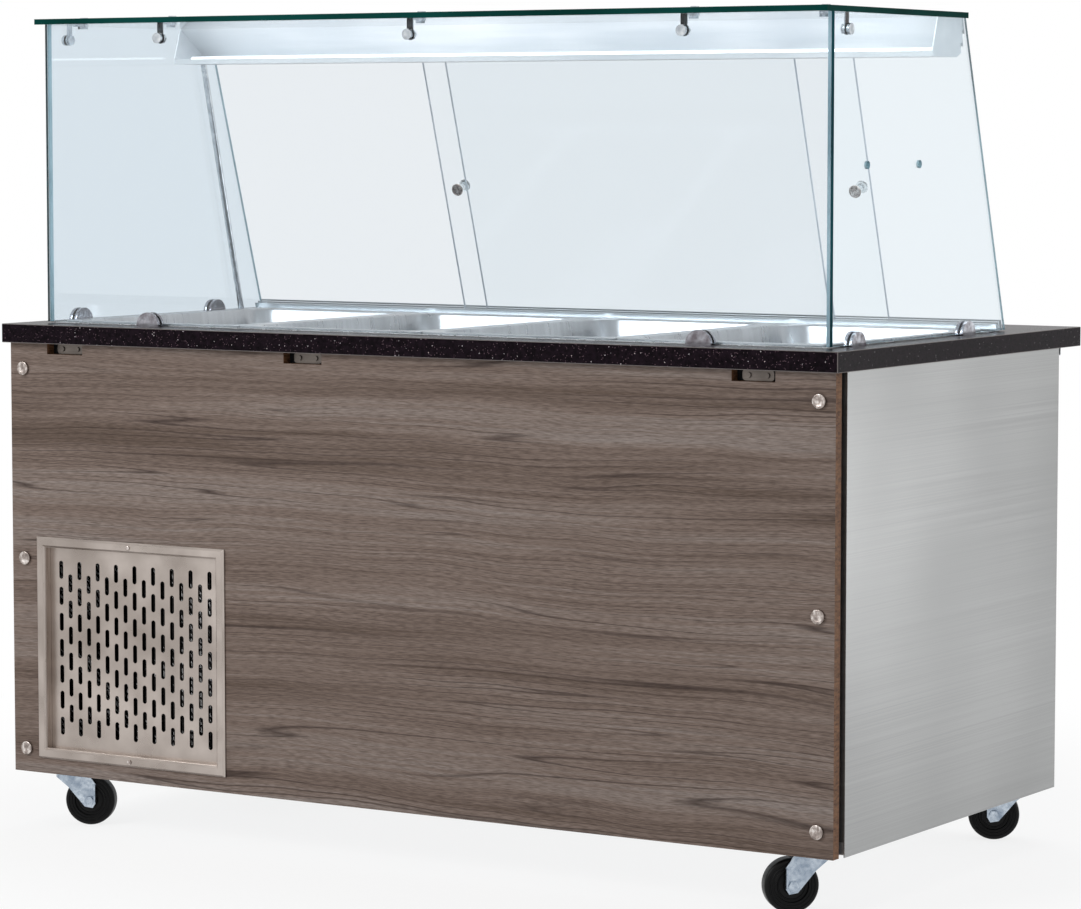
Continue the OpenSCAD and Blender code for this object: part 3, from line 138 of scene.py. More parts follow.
# Deep-drawn sheet: the pull of the press leaves faint stripes down the walls, and it shines more
pan_steel = metal("deep_drawn_stainless_pan", ("#a3a5a8", "#c2c4c7"), (0.26, 0.36), (90, 9, 90), 0.003, 70)
# The reflector over the food: cool, nearly matt, so that it spreads the lamp's light
canopy_steel = metal(
    "satin_stainless_canopy", ("#dfe3e7", "#fbfbfc"), (0.30, 0.42), (260, 30, 30), 0.003,
    cloud_mm=240, metallic=0.35,
)
# The punched plate's base colour is tinted warm: a painted reflection of the wood round it
grille_steel = metal(
    "punched_stainless_grille", ("#968c85", "#bab0a9"), (0.24, 0.36), (60, 4, 60), 0.004, cloud_mm=120,
)
# Thin plate under the worktop, dull: its dark base colour is painted shade from the worktop, dark beside the
# wood
rail_plate_painted_shade = metal("rolled_steel_rail_plate", ("#5d5753", "#7f7771"), (0.34, 0.46), (30, 4, 4), 0.004, 40)
# The glass shoes are die cast and polished; their base colour is painted dark and light in wide
# patches, painted reflections of the dark floor of the room and of the wall
shoe_chrome_painted_reflections = metal("polished_die_cast_shoe", ("#6c666b", "#d3d7df"), (0.10, 0.18), (9, 9, 9), 0.002, 170)
# Plated castings, nearly a mirror: small dark and bright shapes painted into the base colour, painted
# reflections
chrome = metal("polished_chrome", ("#aab1b7", "#d6dbdf"), (0.08, 0.16), (9, 9, 9), 0.002, 14)
# Pressed strap dipped in zinc: bluish, with the crystals and the smears of the bath
zinc = metal("bright_zinc_plate", ("#8794a4", "#c9d3dd"), (0.22, 0.38), (5, 5, 5), 0.01, 18)
anodised = metal("anodised_aluminium", ("#d3d8dc", "#e4e8eb"), (0.30, 0.38), (300, 2, 2), 0.003)
copper = metal("drawn_copper_tube", ("#a8643c", "#cf8a5c"), (0.22, 0.34), (30, 30, 30), 0.003)
print("metal finishes:", len(bpy.data.materials))

# %% [markdown]
# Behind the grille stands the condenser: hundreds of thin aluminium fins. Through the slots the
# coil shows as slanting, wavering streaks, white where a bent fin would throw light back and
# black between. Both are painted into the fins' base colour: painted highlights beside painted shade.


# %% Condenser fins
def fin_sheet_painted_glints():
    material, tree = start("aluminium_fins_painted_glints")
    waver = add(tree, "TexWave", {
        "Vector": measured(tree, (16, 16, 16)), "Scale": 1.0,
        "Distortion": 5.0, "Detail": 2.0, "Detail Scale": 1.6,
    }, bands_direction="DIAGONAL")
    patches = add(tree, "TexNoise", {"Vector": measured(tree, (90, 90, 90)), "Scale": 1.0})
    # Painted highlight: the patches where the fins are painted bright
    painted_glint_patches = add(tree, "MapRange", {
        "Value": patches, "From Min": 0.4, "From Max": 0.56, "To Min": 0.1, "To Max": 1.0,
    })
    light = add(tree, "Math", {0: waver, 1: painted_glint_patches}, operation="MULTIPLY")
    shader = add(tree, "BsdfPrincipled", {
        # Painted light in the base colour: near-white streaks as painted glints, near black as painted shade
        # between fins
        "Base Color": add(tree, "ValToRGB", {"Fac": light}, [(0.42, "#050505"), (0.56, "#fbfbfb")]),
        "Metallic": 0.2,
        "Roughness": add(tree, "MapRange", {"Value": waver, "To Min": 0.5, "To Max": 0.3}),
        "Normal": add(tree, "Bump", {"Height": waver, "Distance": 0.3 * MM}),
    })
    add(tree, "OutputMaterial", {"Surface": shader})
    return material


fins_painted_glints = fin_sheet_painted_glints()
print("fin nodes:", len(fins_painted_glints.node_tree.nodes))

# %% [markdown]
# The cap over a screw is a disc turned on a lathe. The tool leaves rings too fine to see one
# by one, but together they smear the light into brighter and darker patches. A plain metal
# shader can't show the rings, so the patches are painted into the base colour as a noise half
# a cap wide: a painted sheen.


# %% Turned caps
def turned_cap():
    material, tree = start("turned_stainless_cap")
    place = add(tree, "TexCoord").outputs["Object"]
    speck = add(tree, "TexNoise", {"Vector": measured(tree, (3, 3, 3), place), "Scale": 1.0, "Detail": 2.0})
    # Painted sheen: brighter and darker patches laid into the base colour
    painted_sheen_patch = add(tree, "TexNoise", {"Vector": measured(tree, (5, 5, 9), place), "Scale": 1.0, "Detail": 1.0})
    painted_sheen_share = add(tree, "Math", {0: painted_sheen_patch, 1: 0.7}, operation="MULTIPLY")
    tone = add(tree, "Math", {0: speck, 1: 0.3, 2: painted_sheen_share}, operation="MULTIPLY_ADD")
    shader = add(tree, "BsdfPrincipled", {
        "Base Color": add(tree, "ValToRGB", {"Fac": tone}, [
            (0.36, "#857b76"), (0.5, "#a59a94"), (0.64, "#d9d2cd"),
        ]),
        "Metallic": 1.0,
        "Roughness": add(tree, "MapRange", {"Value": speck, "To Min": 0.2, "To Max": 0.34}),
        "Normal": add(tree, "Bump", {"Height": speck, "Distance": 0.01 * MM}),
    })
    add(tree, "OutputMaterial", {"Surface": shader})
    return material


cap_steel = turned_cap()
print("cap finish:", cap_steel.name)

# %% [markdown]
# The worktop is engineered stone: quartz crumbs in a dark plum resin, polished. Most crumbs are
# as dark as the resin and only a few catch the light, so two sizes of cells are laid down and
# only the few whose random number is high show, one size warm, the other nearly white. The
# sawn corners are eased by hand, and that narrow arris is coloured a paler grey than the faces.


# %% Stone
def stone():
    material, tree = start("polished_engineered_stone")
    place = add(tree, "TexCoord").outputs["Object"]
    resin = add(tree, "TexNoise", {"Vector": measured(tree, (6, 6, 6), place), "Scale": 1.0, "Detail": 4.0})
    colour = add(tree, "ValToRGB", {"Fac": resin}, [(0.36, "#0a0509"), (0.62, "#180f16")])
    for cell_mm, rare, size, tint in ((1.9, 0.87, 0.30, "#6f5a62"), (3.1, 0.955, 0.2, "#d9d2d6")):
        cells = add(tree, "TexVoronoi", {"Vector": place, "Scale": 1 / (cell_mm * MM)})
        near = add(tree, "Math", {0: cells.outputs["Distance"], 1: size}, operation="LESS_THAN")
        lot = add(tree, "SeparateColor", {"Color": cells.outputs["Color"]})
        lucky = add(tree, "Math", {0: lot, 1: rare}, operation="GREATER_THAN")
        speck = add(tree, "Math", {0: near, 1: lucky}, operation="MULTIPLY")
        colour = add(tree, "MixRGB", {"Fac": speck, "Color1": colour, "Color2": linear(tint)})
    size = add(tree, "VectorMath", {0: add(tree, "TexCoord").outputs["Normal"]}, operation="ABSOLUTE")
    parts = add(tree, "SeparateXYZ", {"Vector": size})
    flat = add(tree, "Math", {0: parts.outputs["X"], 1: parts.outputs["Y"]}, operation="MAXIMUM")
    flat = add(tree, "Math", {0: flat, 1: parts.outputs["Z"]}, operation="MAXIMUM")
    arris = add(tree, "Math", {0: flat, 1: 0.97}, operation="LESS_THAN")
    grain = add(tree, "TexNoise", {"Vector": measured(tree, (1.5, 1.5, 1.5), place), "Scale": 1.0})
    shader = add(tree, "BsdfPrincipled", {
        "Base Color": add(tree, "MixRGB", {"Fac": arris, "Color1": colour, "Color2": linear("#77716f")}),
        "Roughness": add(tree, "MapRange", {"Value": grain, "To Min": 0.22, "To Max": 0.36}),
        "Normal": add(tree, "Bump", {"Height": grain, "Distance": 0.02 * MM, "Strength": 0.3}),
        "Specular IOR Level": 0.04,
    })
    add(tree, "OutputMaterial", {"Surface": shader})
    return material


stone_finish = stone()
print("stone nodes:", len(stone_finish.node_tree.nodes))

# %% [markdown]
# The front is a chipboard panel faced with a printed walnut laminate. Its grain runs along the
# counter: bands two fingers wide that change from brown to grey, dark growth lines in groups,
# and short fibres. A growth line is where the slow swing of one stretched noise crosses a fixed
# level, so the lines keep nearly parallel and close round the bands, as sawn wood does. The
# sawn edge isn't faced: where the surface turns away from the front it shows brown board.


# %% Walnut laminate
def laminate():
    material, tree = start("grey_walnut_laminate")
    place = add(tree, "TexCoord").outputs["Object"]
    sway_place = measured(tree, (480, 480, 160), place)
    sway = add(tree, "TexNoise", {"Vector": sway_place, "Scale": 1.0, "Detail": 2.0})
    lift = add(tree, "CombineXYZ", {"Z": add(tree, "Math", {0: sway, 1: 46 * MM}, operation="MULTIPLY")})
    bent = add(tree, "VectorMath", {0: place, 1: lift}).outputs["Vector"]
    # Spacings along the counter, through the board and up it, in millimetres, and the detail.
    # The fibres are drawn three times as coarse as the real print, to be seen from across a room
    bands, streaks, rings, groups, fibres = (
        add(tree, "TexNoise", {"Vector": measured(tree, spacing, bent), "Scale": 1.0, "Detail": detail})
        for spacing, detail in (
            ((1500, 300, 52), 2.0), ((420, 300, 4.5), 4.0), ((2600, 300, 34), 0.3),
            ((700, 300, 60), 2.0), ((16, 16, 1.0), 3.0),
        )
    )
    broad = add(tree, "Math", {0: bands, 1: 0.62}, operation="MULTIPLY")
    tone = add(tree, "Math", {0: streaks, 1: 0.38, 2: broad}, operation="MULTIPLY_ADD")
    face = add(tree, "ValToRGB", {"Fac": tone}, [
        (0.36, "#65554b"), (0.45, "#76665d"), (0.51, "#807067"), (0.58, "#897b73"), (0.68, "#918680"),
    ])
    steps = add(tree, "Math", {0: rings, 1: 15.0}, operation="MULTIPLY")
    swing = add(tree, "Math", {0: steps, 1: 0.5}, operation="PINGPONG")
    line = add(tree, "MapRange", {
        "Value": swing, "From Min": 0.0, "From Max": 0.09, "To Min": 1.0, "To Max": 0.0,
    })
    grouped = add(tree, "MapRange", {
        "Value": groups, "From Min": 0.36, "From Max": 0.56, "To Min": 0.12, "To Max": 0.85,
    })
    inked = add(tree, "Math", {0: line, 1: grouped}, operation="MULTIPLY")
    face = add(tree, "MixRGB", {"Fac": inked, "Color1": face, "Color2": linear("#3b2d28")})
    fleck = add(tree, "ValToRGB", {"Fac": fibres}, [(0.34, "#a8a19c"), (0.64, "#ffffff")])
    face = add(tree, "MixRGB", {"Fac": 0.75, "Color1": face, "Color2": fleck}, blend_type="MULTIPLY")
    chips = add(tree, "TexNoise", {"Vector": measured(tree, (8, 8, 3), place), "Scale": 1.0})
    board = add(tree, "ValToRGB", {"Fac": chips}, [(0.3, "#4d3323"), (0.7, "#7e5a3f")])
    turned = add(tree, "SeparateXYZ", {"Vector": add(tree, "TexCoord").outputs["Normal"]})
    faced = add(tree, "Math", {0: turned.outputs["Y"], 1: -0.7}, operation="LESS_THAN")
    shader = add(tree, "BsdfPrincipled", {
        "Base Color": add(tree, "MixRGB", {"Fac": faced, "Color1": board, "Color2": face}),
        "Roughness": add(tree, "MapRange", {"Value": fibres, "To Min": 0.5, "To Max": 0.66}),
        "Normal": add(tree, "Bump", {"Height": fibres, "Distance": 0.05 * MM, "Strength": 0.4}),
        "Specular IOR Level": 0.2,
    })
    add(tree, "OutputMaterial", {"Surface": shader})
    return material


walnut = laminate()
print("walnut nodes:", len(walnut.node_tree.nodes))

# %% [markdown]
# Float glass is cast on molten tin: clear through its face and deep green through its edge,
# because there the light has come the long way. The faces pass light with a trace of colour
# at each surface, and the polished edges get their own dark green, found by which way the
# surface faces. Rays from the lamps pass straight on, or the light behind would be all noise.


# %% Glass
def float_glass(name, thin_axis, tint, edge_tones, index=1.45):
    material, tree = start(name)
    # A weak mirror: the faces hold only a trace of the counter, as clean glass does
    body = add(tree, "BsdfPrincipled", {
        "Base Color": linear(tint), "Roughness": 0.0, "IOR": index,
        "Transmission Weight": 1.0, "Specular IOR Level": 0.22,
    })
    ripple = add(tree, "TexNoise", {"Vector": measured(tree, (160, 160, 160)), "Scale": 1.0})
    edge = add(tree, "BsdfPrincipled", {
        "Base Color": add(tree, "ValToRGB", {"Fac": ripple}, [(0.35, edge_tones[0]), (0.68, edge_tones[1])]),
        "Roughness": 0.5, "Specular IOR Level": 0.02,
    })
    facing = add(tree, "VectorMath", {
        0: add(tree, "TexCoord").outputs["Normal"], 1: thin_axis,
    }, operation="DOT_PRODUCT").outputs["Value"]
    squared = add(tree, "Math", {0: facing, 1: facing}, operation="MULTIPLY")
    is_face = add(tree, "Math", {0: squared, 1: 0.5}, operation="GREATER_THAN")
    solid = add(tree, "MixShader", {0: is_face, 1: edge, 2: body})
    clear = add(tree, "BsdfTransparent", {"Color": linear("#f6fafa")})
    lamp_ray = add(tree, "LightPath").outputs["Is Shadow Ray"]
    shown = add(tree, "MixShader", {0: lamp_ray, 1: solid, 2: clear})
    add(tree, "OutputMaterial", {"Surface": shown})
    return material


LEAN = math.radians(17.2)
across_pane = (0.0, math.cos(LEAN), math.sin(LEAN))
front_glass = float_glass("float_glass_front", (0, 1, 0), "#e8edf1", ("#04323a", "#0d464e"))
side_glass = float_glass("float_glass_side", (1, 0, 0), "#eaf2f7", ("#6f8c97", "#9fb6bf"))
top_glass = float_glass("float_glass_top", (0, 0, 1), "#f2f7f8", ("#022e29", "#0a433e"))
# The panes lean over the pans and would mirror them twice over; a low index keeps that faint
pane_glass = float_glass("float_glass_pane", across_pane, "#fafcfd", ("#bcc6d1", "#dae1e8"), 1.1)
print("glass finishes:", [g.name for g in (front_glass, side_glass, top_glass, pane_glass)])

# %% [markdown]
# The rest are moulded, painted or cut: even colours with a little life in their gloss. Nylon
# wheels scuff, enamel flows out smooth, foam has open cells. Each gets a spot size in
# millimetres, at which both its colour and its gloss wander.


# %% Plastics, paint, rubber and foam
def even(name, colours, roughness, spot_mm, bump_mm=0.03, **extra):
    material, tree = start(name)
    spots = add(tree, "TexNoise", {
        "Vector": measured(tree, (spot_mm, spot_mm, spot_mm)), "Scale": 1.0, "Detail": 3.0,
    })
    polish = add(tree, "MapRange", {
        "Value": spots, "From Min": 0.3, "From Max": 0.7, "To Min": roughness[0], "To Max": roughness[1],
    })
    shader = add(tree, "BsdfPrincipled", {
        "Base Color": add(tree, "ValToRGB", {"Fac": spots}, [(0.35, colours[0]), (0.65, colours[1])]),
        "Roughness": polish,
        "Normal": add(tree, "Bump", {"Height": spots, "Distance": bump_mm * MM, "Strength": 0.3}),
        **extra,
    })
    add(tree, "OutputMaterial", {"Surface": shader})
    return material


# Hard nylon, black right through: soft streaks of light along the moulded rings
wheel_nylon = even(
    "moulded_black_nylon", ("#040405", "#0c0c0d"), (0.34, 0.46), 9, **{"Specular IOR Level": 0.16},
)
# Timber in the gap behind the wood: its near-black colour is painted shade, so that it reads only as the
# shadow in the gap
batten_painted_shade = even(
    "near_black_batten_painted_shade", ("#0b0b0d", "#17181b"), (0.6, 0.75), 8, **{"Specular IOR Level": 0.2},
)
black_enamel = even("black_enamel", ("#0c0c0d", "#161617"), (0.22, 0.32), 30)
black_abs = even("moulded_black_abs", ("#141415", "#1e1e20"), (0.38, 0.5), 4)
foam = even("cut_polyurethane_foam", ("#d2caa4", "#e0dab8"), (0.85, 0.95), 3, 0.3)
# Opal acrylic over the lamp, which is on: it lights the reflector behind it, not the room
opal = even(
    "opal_acrylic_diffuser", ("#eef0f0", "#f7f8f8"), (0.4, 0.5), 40,
    **{"Emission Color": linear("#ffffff"), "Emission Strength": 2.0},
)
# Turned from clear rod: bright rims and a milky body, because the tool marks scatter the light
acrylic = even(
    "turned_clear_acrylic", ("#dfe7ea", "#f2f6f8"), (0.06, 0.16), 6,
    **{"IOR": 1.49, "Transmission Weight": 0.9, "Specular IOR Level": 0.4},
)
plain = [wheel_nylon, batten_painted_shade, black_enamel, black_abs, foam, opal, acrylic]
print("plain finishes:", len(plain))

# %% [markdown]
# Each solid of the frame gets the finish of the real piece. A solid keeps its shape, and only
# its material slot is filled.

# %% Finishes for the solids of the frame
finishes = {
    "front_panel": walnut, "panel_battens": batten_painted_shade,
    "side_panel_left": side_steel, "side_panel_right": side_steel,
    "service_panel": back_steel, "control_panel": back_steel,
    "storage_door_left": back_steel, "storage_door_right": back_steel,
    "well_liner": satin_steel, "pan_divider_bars": satin_steel, "base_tray": satin_steel,
    "carcass_frame": satin_steel, "partition": satin_steel, "shelf": satin_steel,
    "rail_brackets": rail_plate_painted_shade, "well_insulation": foam, "cooling_coil": copper,
    "refrigerant_pipes": copper, "grille_frame": grille_steel, "grille_plate": grille_steel,
    "compressor": black_enamel, "fan_shroud": black_enamel, "fan_motor": black_enamel,
    "condenser": fins_painted_glints, "control_bodies": black_abs, "fan_blade": black_abs,
    "light_switch": black_abs, "power_switch": black_abs, "thermostat_knob": black_abs,
    "front_glass": front_glass, "side_glass_left": side_glass, "side_glass_right": side_glass,
    "top_glass": top_glass, "sliding_pane_front": pane_glass, "sliding_pane_rear": pane_glass,
    "glass_shoes": shoe_chrome_painted_reflections, "glass_brackets": chrome, "conduit_post": chrome,
    "canopy_shell": canopy_steel, "canopy_end_plates": canopy_steel, "light_batten": opal,
    "top_track": anodised, "bottom_track": anodised, "caster_plates": zinc,
    "panel_screws": cap_steel, "worktop": stone_finish,
    "pane_knob_front": acrylic, "pane_knob_rear": acrylic,
}
for name in nodes:
    if name.startswith("fork_"):
        finishes[name] = zinc
    if name.startswith("wheel_"):
        finishes[name] = wheel_nylon
    if name.startswith("pan_") and name[4:].isdigit():
        finishes[name] = pan_steel
for name, material in finishes.items():
    solid = nodes[name]
    solid.data.materials.clear()
    solid.data.materials.append(material)
print("finished solids:", len(finishes), "without a finish:", sorted(set(nodes) - set(finishes)))

# %% [markdown]
# New pieces are modelled as by hand. These helpers start a piece with nothing else selected,
# pick its faces or edges by where they lie, and leave the finished piece at the origin with
# its place in its mesh. A copy always gets a mesh of its own.


# %% Modelling helpers
def fresh():
    if bpy.context.object and bpy.context.object.mode == "EDIT":
        bpy.ops.object.mode_set(mode="OBJECT")
    bpy.ops.object.select_all(action="DESELECT")


def settle(piece):
    fresh()
    piece.select_set(True)
    bpy.context.view_layer.objects.active = piece
    bpy.ops.object.transform_apply(location=True, rotation=True, scale=True)


def box_piece(name, low, high):
    fresh()
    low, high = Vector(low), Vector(high)
    bpy.ops.mesh.primitive_cube_add(size=1, location=(low + high) / 2)
    piece = bpy.context.object
    piece.name = name
    piece.scale = high - low
    settle(piece)
    return piece


def duplicate(model, name):
    copy = model.copy()
    copy.data = model.data.copy()
    copy.name = name
    bpy.context.collection.objects.link(copy)
    return copy


def modify(piece, kind, **settings):
    bpy.context.view_layer.objects.active = piece
    modifier = piece.modifiers.new(kind.lower(), kind)
    for name, value in settings.items():
        setattr(modifier, name, value)
    bpy.ops.object.modifier_apply(modifier=modifier.name)


def pick(piece, kind, test):
    """In edit mode, selects only the vertices or edges whose ends all pass the test."""
    bpy.ops.mesh.select_all(action="DESELECT")
    bpy.ops.mesh.select_mode(type=kind)
    bpy.ops.object.mode_set(mode="OBJECT")
    chosen = [test(v.co) for v in piece.data.vertices]
    for vertex, wanted in zip(piece.data.vertices, chosen):
        vertex.select = wanted
    for edge in piece.data.edges:
        edge.select = all(chosen[i] for i in edge.vertices)
    bpy.ops.object.mode_set(mode="EDIT")


def joined(pieces, name):
    fresh()
    for piece in pieces:
        piece.select_set(True)
    bpy.context.view_layer.objects.active = pieces[0]
    bpy.ops.object.join()
    pieces[0].name = name
    return pieces[0]


def dress(piece, material, body, replaced=(), smooth_deg=35):
    fresh()
    piece.select_set(True)
    bpy.context.view_layer.objects.active = piece
    bpy.ops.object.shade_smooth_by_angle(angle=math.radians(smooth_deg))
    piece.data.materials.clear()
    piece.data.materials.append(material)
    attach(piece, body)
    if replaced:
        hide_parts(*replaced)


# %% [markdown]
# The slab is cut from one block, with the well sawn out of it by a boolean, and then every
# edge is eased with a small bevel. Its faces stay flat-shaded, so that the stone's finish can
# tell the arris from the polished faces.

# %% Worktop
low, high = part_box("worktop")
well_low, well_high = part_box("pan_1")[0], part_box("pan_4")[1]
SAW_GAP = 10.5 * MM
slab = box_piece("stone_slab", low, high)
saw = box_piece(
    "saw",
    (well_low.x + SAW_GAP, well_low.y + SAW_GAP, low.z - 0.05),
    (well_high.x - SAW_GAP, well_high.y - SAW_GAP, high.z + 0.05),
)
modify(slab, "BOOLEAN", object=saw, operation="DIFFERENCE")
bpy.data.objects.remove(saw)
modify(slab, "BEVEL", width=0.9 * MM, segments=2, limit_method="ANGLE")
dress(slab, stone_finish, "cabinet", ["worktop"], smooth_deg=15)
print("slab, mm:", [round(s / MM) for s in high - low], "faces:", len(slab.data.polygons))

# %% [markdown]
# A pan is pressed from one sheet: a flat rim with a turned-down edge, tapering walls with big
# corners, and a flat floor. Two rounded outlines are bridged to make the rim, then the inner
# one is pushed down a step at a time along the curve of the wall, and the sheet gets its
# thickness last. It is modelled once and copied to each place.


# %% Pans
RIM, RIM_R, BODY_R, STEPS = 14 * MM, 14 * MM, 40 * MM, 8
TAPER, SHEET, FLOOR_R = 14 * MM, 0.9 * MM, 16 * MM


def outline(name, width, length, radius):
    fresh()
    bpy.ops.mesh.primitive_plane_add(size=1)
    piece = bpy.context.object
    piece.name = name
    piece.scale = (width, length, 1)
    settle(piece)
    bpy.ops.object.mode_set(mode="EDIT")
    bpy.ops.mesh.select_all(action="SELECT")
    bpy.ops.mesh.bevel(offset=radius, segments=STEPS, affect="VERTICES")
    bpy.ops.mesh.select_all(action="SELECT")
    bpy.ops.mesh.delete(type="ONLY_FACE")
    bpy.ops.object.mode_set(mode="OBJECT")
    return piece


def push(rise, shrink_x, shrink_y):
    bpy.ops.mesh.extrude_region_move(TRANSFORM_OT_translate={"value": (0, 0, rise)})
    bpy.ops.transform.resize(value=(shrink_x, shrink_y, 1), center_override=(0, 0, 0))


def wall_profile(depth_mm):
    """Steps inwards and down in millimetres: a rolled shoulder, a tapered run, a rolled foot."""
    taper, floor_r = TAPER / MM, FLOOR_R / MM
    foot_z = depth_mm - floor_r
    profile = [(0.8, 0.2), (2.2, 1.2), (3.0, 3.0), (3.0 + (taper - 3) * 0.5, foot_z * 0.5), (taper, foot_z)]
    for turn in (math.radians(a) for a in (18, 36, 54, 72, 90)):
        profile.append((taper + floor_r * (1 - math.cos(turn)), foot_z + floor_r * math.sin(turn)))
    profile.append((taper + floor_r + 20, depth_mm + 0.4))
    return profile


def pressed_pan(name, width, length, depth):
    half_x, half_y = width / 2 - RIM, length / 2 - RIM
    rim = outline(name, width - 2 * MM, length - 2 * MM, RIM_R)
    joined([rim, outline("opening", 2 * half_x, 2 * half_y, BODY_R)], name)
    bpy.ops.object.mode_set(mode="EDIT")
    bpy.ops.mesh.select_all(action="SELECT")
    bpy.ops.mesh.bridge_edge_loops()
    pick(rim, "EDGE", lambda v: abs(v.x) < half_x + 0.2 * MM and abs(v.y) < half_y + 0.2 * MM)
    inward, down = 0.0, 0.0
    for next_in, next_down in wall_profile(depth / MM):
        x = (half_x - next_in * MM) / (half_x - inward * MM)
        y = (half_y - next_in * MM) / (half_y - inward * MM)
        push((down - next_down) * MM, x, y)
        inward, down = next_in, next_down
    bpy.ops.mesh.edge_face_add()
    # The rim's turned-down edge
    edge_x, edge_y = (size / 2 - 1.2 * MM - RIM_R * 0.32 for size in (width, length))
    pick(rim, "EDGE", lambda v: v.z > -0.1 * MM and not (abs(v.x) < edge_x and abs(v.y) < edge_y))
    for out_mm, down_mm in ((0.5, 0.15), (0.4, 0.5), (0.0, 1.9)):
        push(-down_mm * MM, 1 + 2 * out_mm * MM / width, 1 + 2 * out_mm * MM / length)
    bpy.ops.mesh.select_all(action="SELECT")
    bpy.ops.mesh.remove_doubles(threshold=0.01 * MM)
    bpy.ops.mesh.normals_make_consistent(inside=False)
    bpy.ops.object.mode_set(mode="OBJECT")
    modify(rim, "SOLIDIFY", thickness=SHEET, offset=-1)
    return rim


first_low, first_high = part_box("pan_1")
size = first_high - first_low
model = pressed_pan("pan_shell_1", size.x, size.y, size.z - 2 * MM)
shells = [model] + [duplicate(model, f"pan_shell_{number}") for number in range(2, 5)]
for number, shell in enumerate(shells, 1):
    low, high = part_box(f"pan_{number}")
    shell.location = ((low.x + high.x) / 2, (low.y + high.y) / 2, high.z - 0.1 * MM)
    settle(shell)
    dress(shell, pan_steel, f"pan_{number}", [f"pan_{number}"])
print("pans:", len(shells), "of", [round(s / MM) for s in size], "mm, faces each:", len(model.data.polygons))

# %% [markdown]
# A caster wheel is one moulded disc. It begins as a cylinder, whose two round faces are inset
# again and again: each step goes a little inwards and, with a depth, up or down, so the rings
# of the mould appear one by one. The last faces are taken out and bridged for the axle's bore.


# %% Wheels
# Each pair is a step inwards and a step up or down, in millimetres, from the tread to the bore
RINGS = [
    (1.0, 0), (0.7, -0.9), (1.6, 0), (0.7, 0.9), (1.6, 0), (0.7, -0.9), (1.6, 0), (0.7, 0.9), (1.2, 0),
    (1.0, -3.0), (2.0, 0), (0.7, 0.8), (1.0, 0), (0.7, -0.8), (5.8, 0), (1.5, 4.0), (6.45, 0),
]
BORE_R = 4.05 * MM
HALF_TREAD = 12 * MM


def moulded_wheel(radius, half_width):
    fresh()
    bpy.ops.mesh.primitive_cylinder_add(vertices=96, radius=radius, depth=2 * half_width)
    wheel = bpy.context.object
    bpy.ops.object.mode_set(mode="EDIT")
    for way in (1, -1):
        pick(wheel, "EDGE", lambda v: v.z * way > half_width - 0.01 * MM)
        bpy.ops.mesh.bevel(offset=4.5 * MM, segments=6)
        pick(wheel, "VERT", lambda v: v.z * way > half_width - 0.01 * MM)
        bpy.ops.mesh.select_mode(type="FACE")
        for inward, depth in RINGS:
            bpy.ops.mesh.inset(thickness=inward * MM, depth=depth * MM)
        bpy.ops.mesh.delete(type="ONLY_FACE")
    pick(wheel, "EDGE", lambda v: math.hypot(v.x, v.y) < BORE_R + 0.3 * MM)
    bpy.ops.mesh.bridge_edge_loops()
    bpy.ops.mesh.select_all(action="SELECT")
    bpy.ops.mesh.normals_make_consistent(inside=False)
    bpy.ops.object.mode_set(mode="OBJECT")
    return wheel


first_low, first_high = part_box("wheel_front_left")
wheel_r = (first_high.z - first_low.z) / 2
wheel_model = moulded_wheel(wheel_r, HALF_TREAD)
rolling = [joint for joint in frame["joints"] if joint["child"].startswith("wheel_")]
for joint in rolling:
    name = joint["child"]
    wheel = duplicate(wheel_model, name.replace("wheel", "caster_wheel"))
    low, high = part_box(name)
    wheel.rotation_euler = Vector(joint["axis"]).to_track_quat("Z", "Y").to_euler()
    wheel.location = (low + high) / 2
    settle(wheel)
    dress(wheel, wheel_nylon, name, [name])
bpy.data.objects.remove(wheel_model)
print("wheels:", len(rolling), "radius, mm:", round(wheel_r / MM, 1))

# %% [markdown]
# The screws that hold the wood are hidden under turned caps, low buttons with an eased rim.
# Six caps and the two small heads on the grille are made here and joined to one piece.


# %% Cap screws
def button(x, z, back, front, radius, ease):
    fresh()
    bpy.ops.mesh.primitive_cylinder_add(
        vertices=64, radius=radius, depth=back - front,
        location=(x, (back + front) / 2, z), rotation=(math.pi / 2, 0, 0),
    )
    piece = bpy.context.object
    settle(piece)
    modify(piece, "BEVEL", width=ease, segments=4, limit_method="ANGLE")
    bpy.ops.object.mode_set(mode="EDIT")
    pick(piece, "VERT", lambda v: v.y < front + 0.01 * MM)
    bpy.ops.mesh.select_mode(type="FACE")
    bpy.ops.mesh.inset(thickness=radius * 0.25, depth=0)
    bpy.ops.mesh.inset(thickness=0.3 * MM, depth=-0.15 * MM)
    bpy.ops.object.mode_set(mode="OBJECT")
    return piece


low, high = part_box("panel_screws")
panel_low, panel_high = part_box("front_panel")
grille_low, grille_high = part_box("grille_frame")
CAP_R, CAP_RISE, HEAD_R, HEAD_RISE, BAR_MIDDLE = 10 * MM, 4 * MM, 3.5 * MM, 2 * MM, 7.5 * MM
cap_heights = [high.z - CAP_R, (panel_low.z + panel_high.z) / 2, low.z + CAP_R]
caps = [
    button(x, z, panel_low.y, panel_low.y - CAP_RISE, CAP_R, 1.2 * MM)
    for x in (low.x + CAP_R, high.x - CAP_R) for z in cap_heights
]
grille_x = (grille_low.x + grille_high.x) / 2
heads = [
    button(grille_x, z, grille_low.y, grille_low.y - HEAD_RISE, HEAD_R, 0.9 * MM)
    for z in (grille_low.z + BAR_MIDDLE, grille_high.z - BAR_MIDDLE)
]
screws = joined(caps + heads, "screw_caps")
dress(screws, cap_steel, "cabinet", ["panel_screws"])
print("caps:", len(caps), "grille screws:", len(heads), "heights, mm:", [round(z / MM) for z in cap_heights])

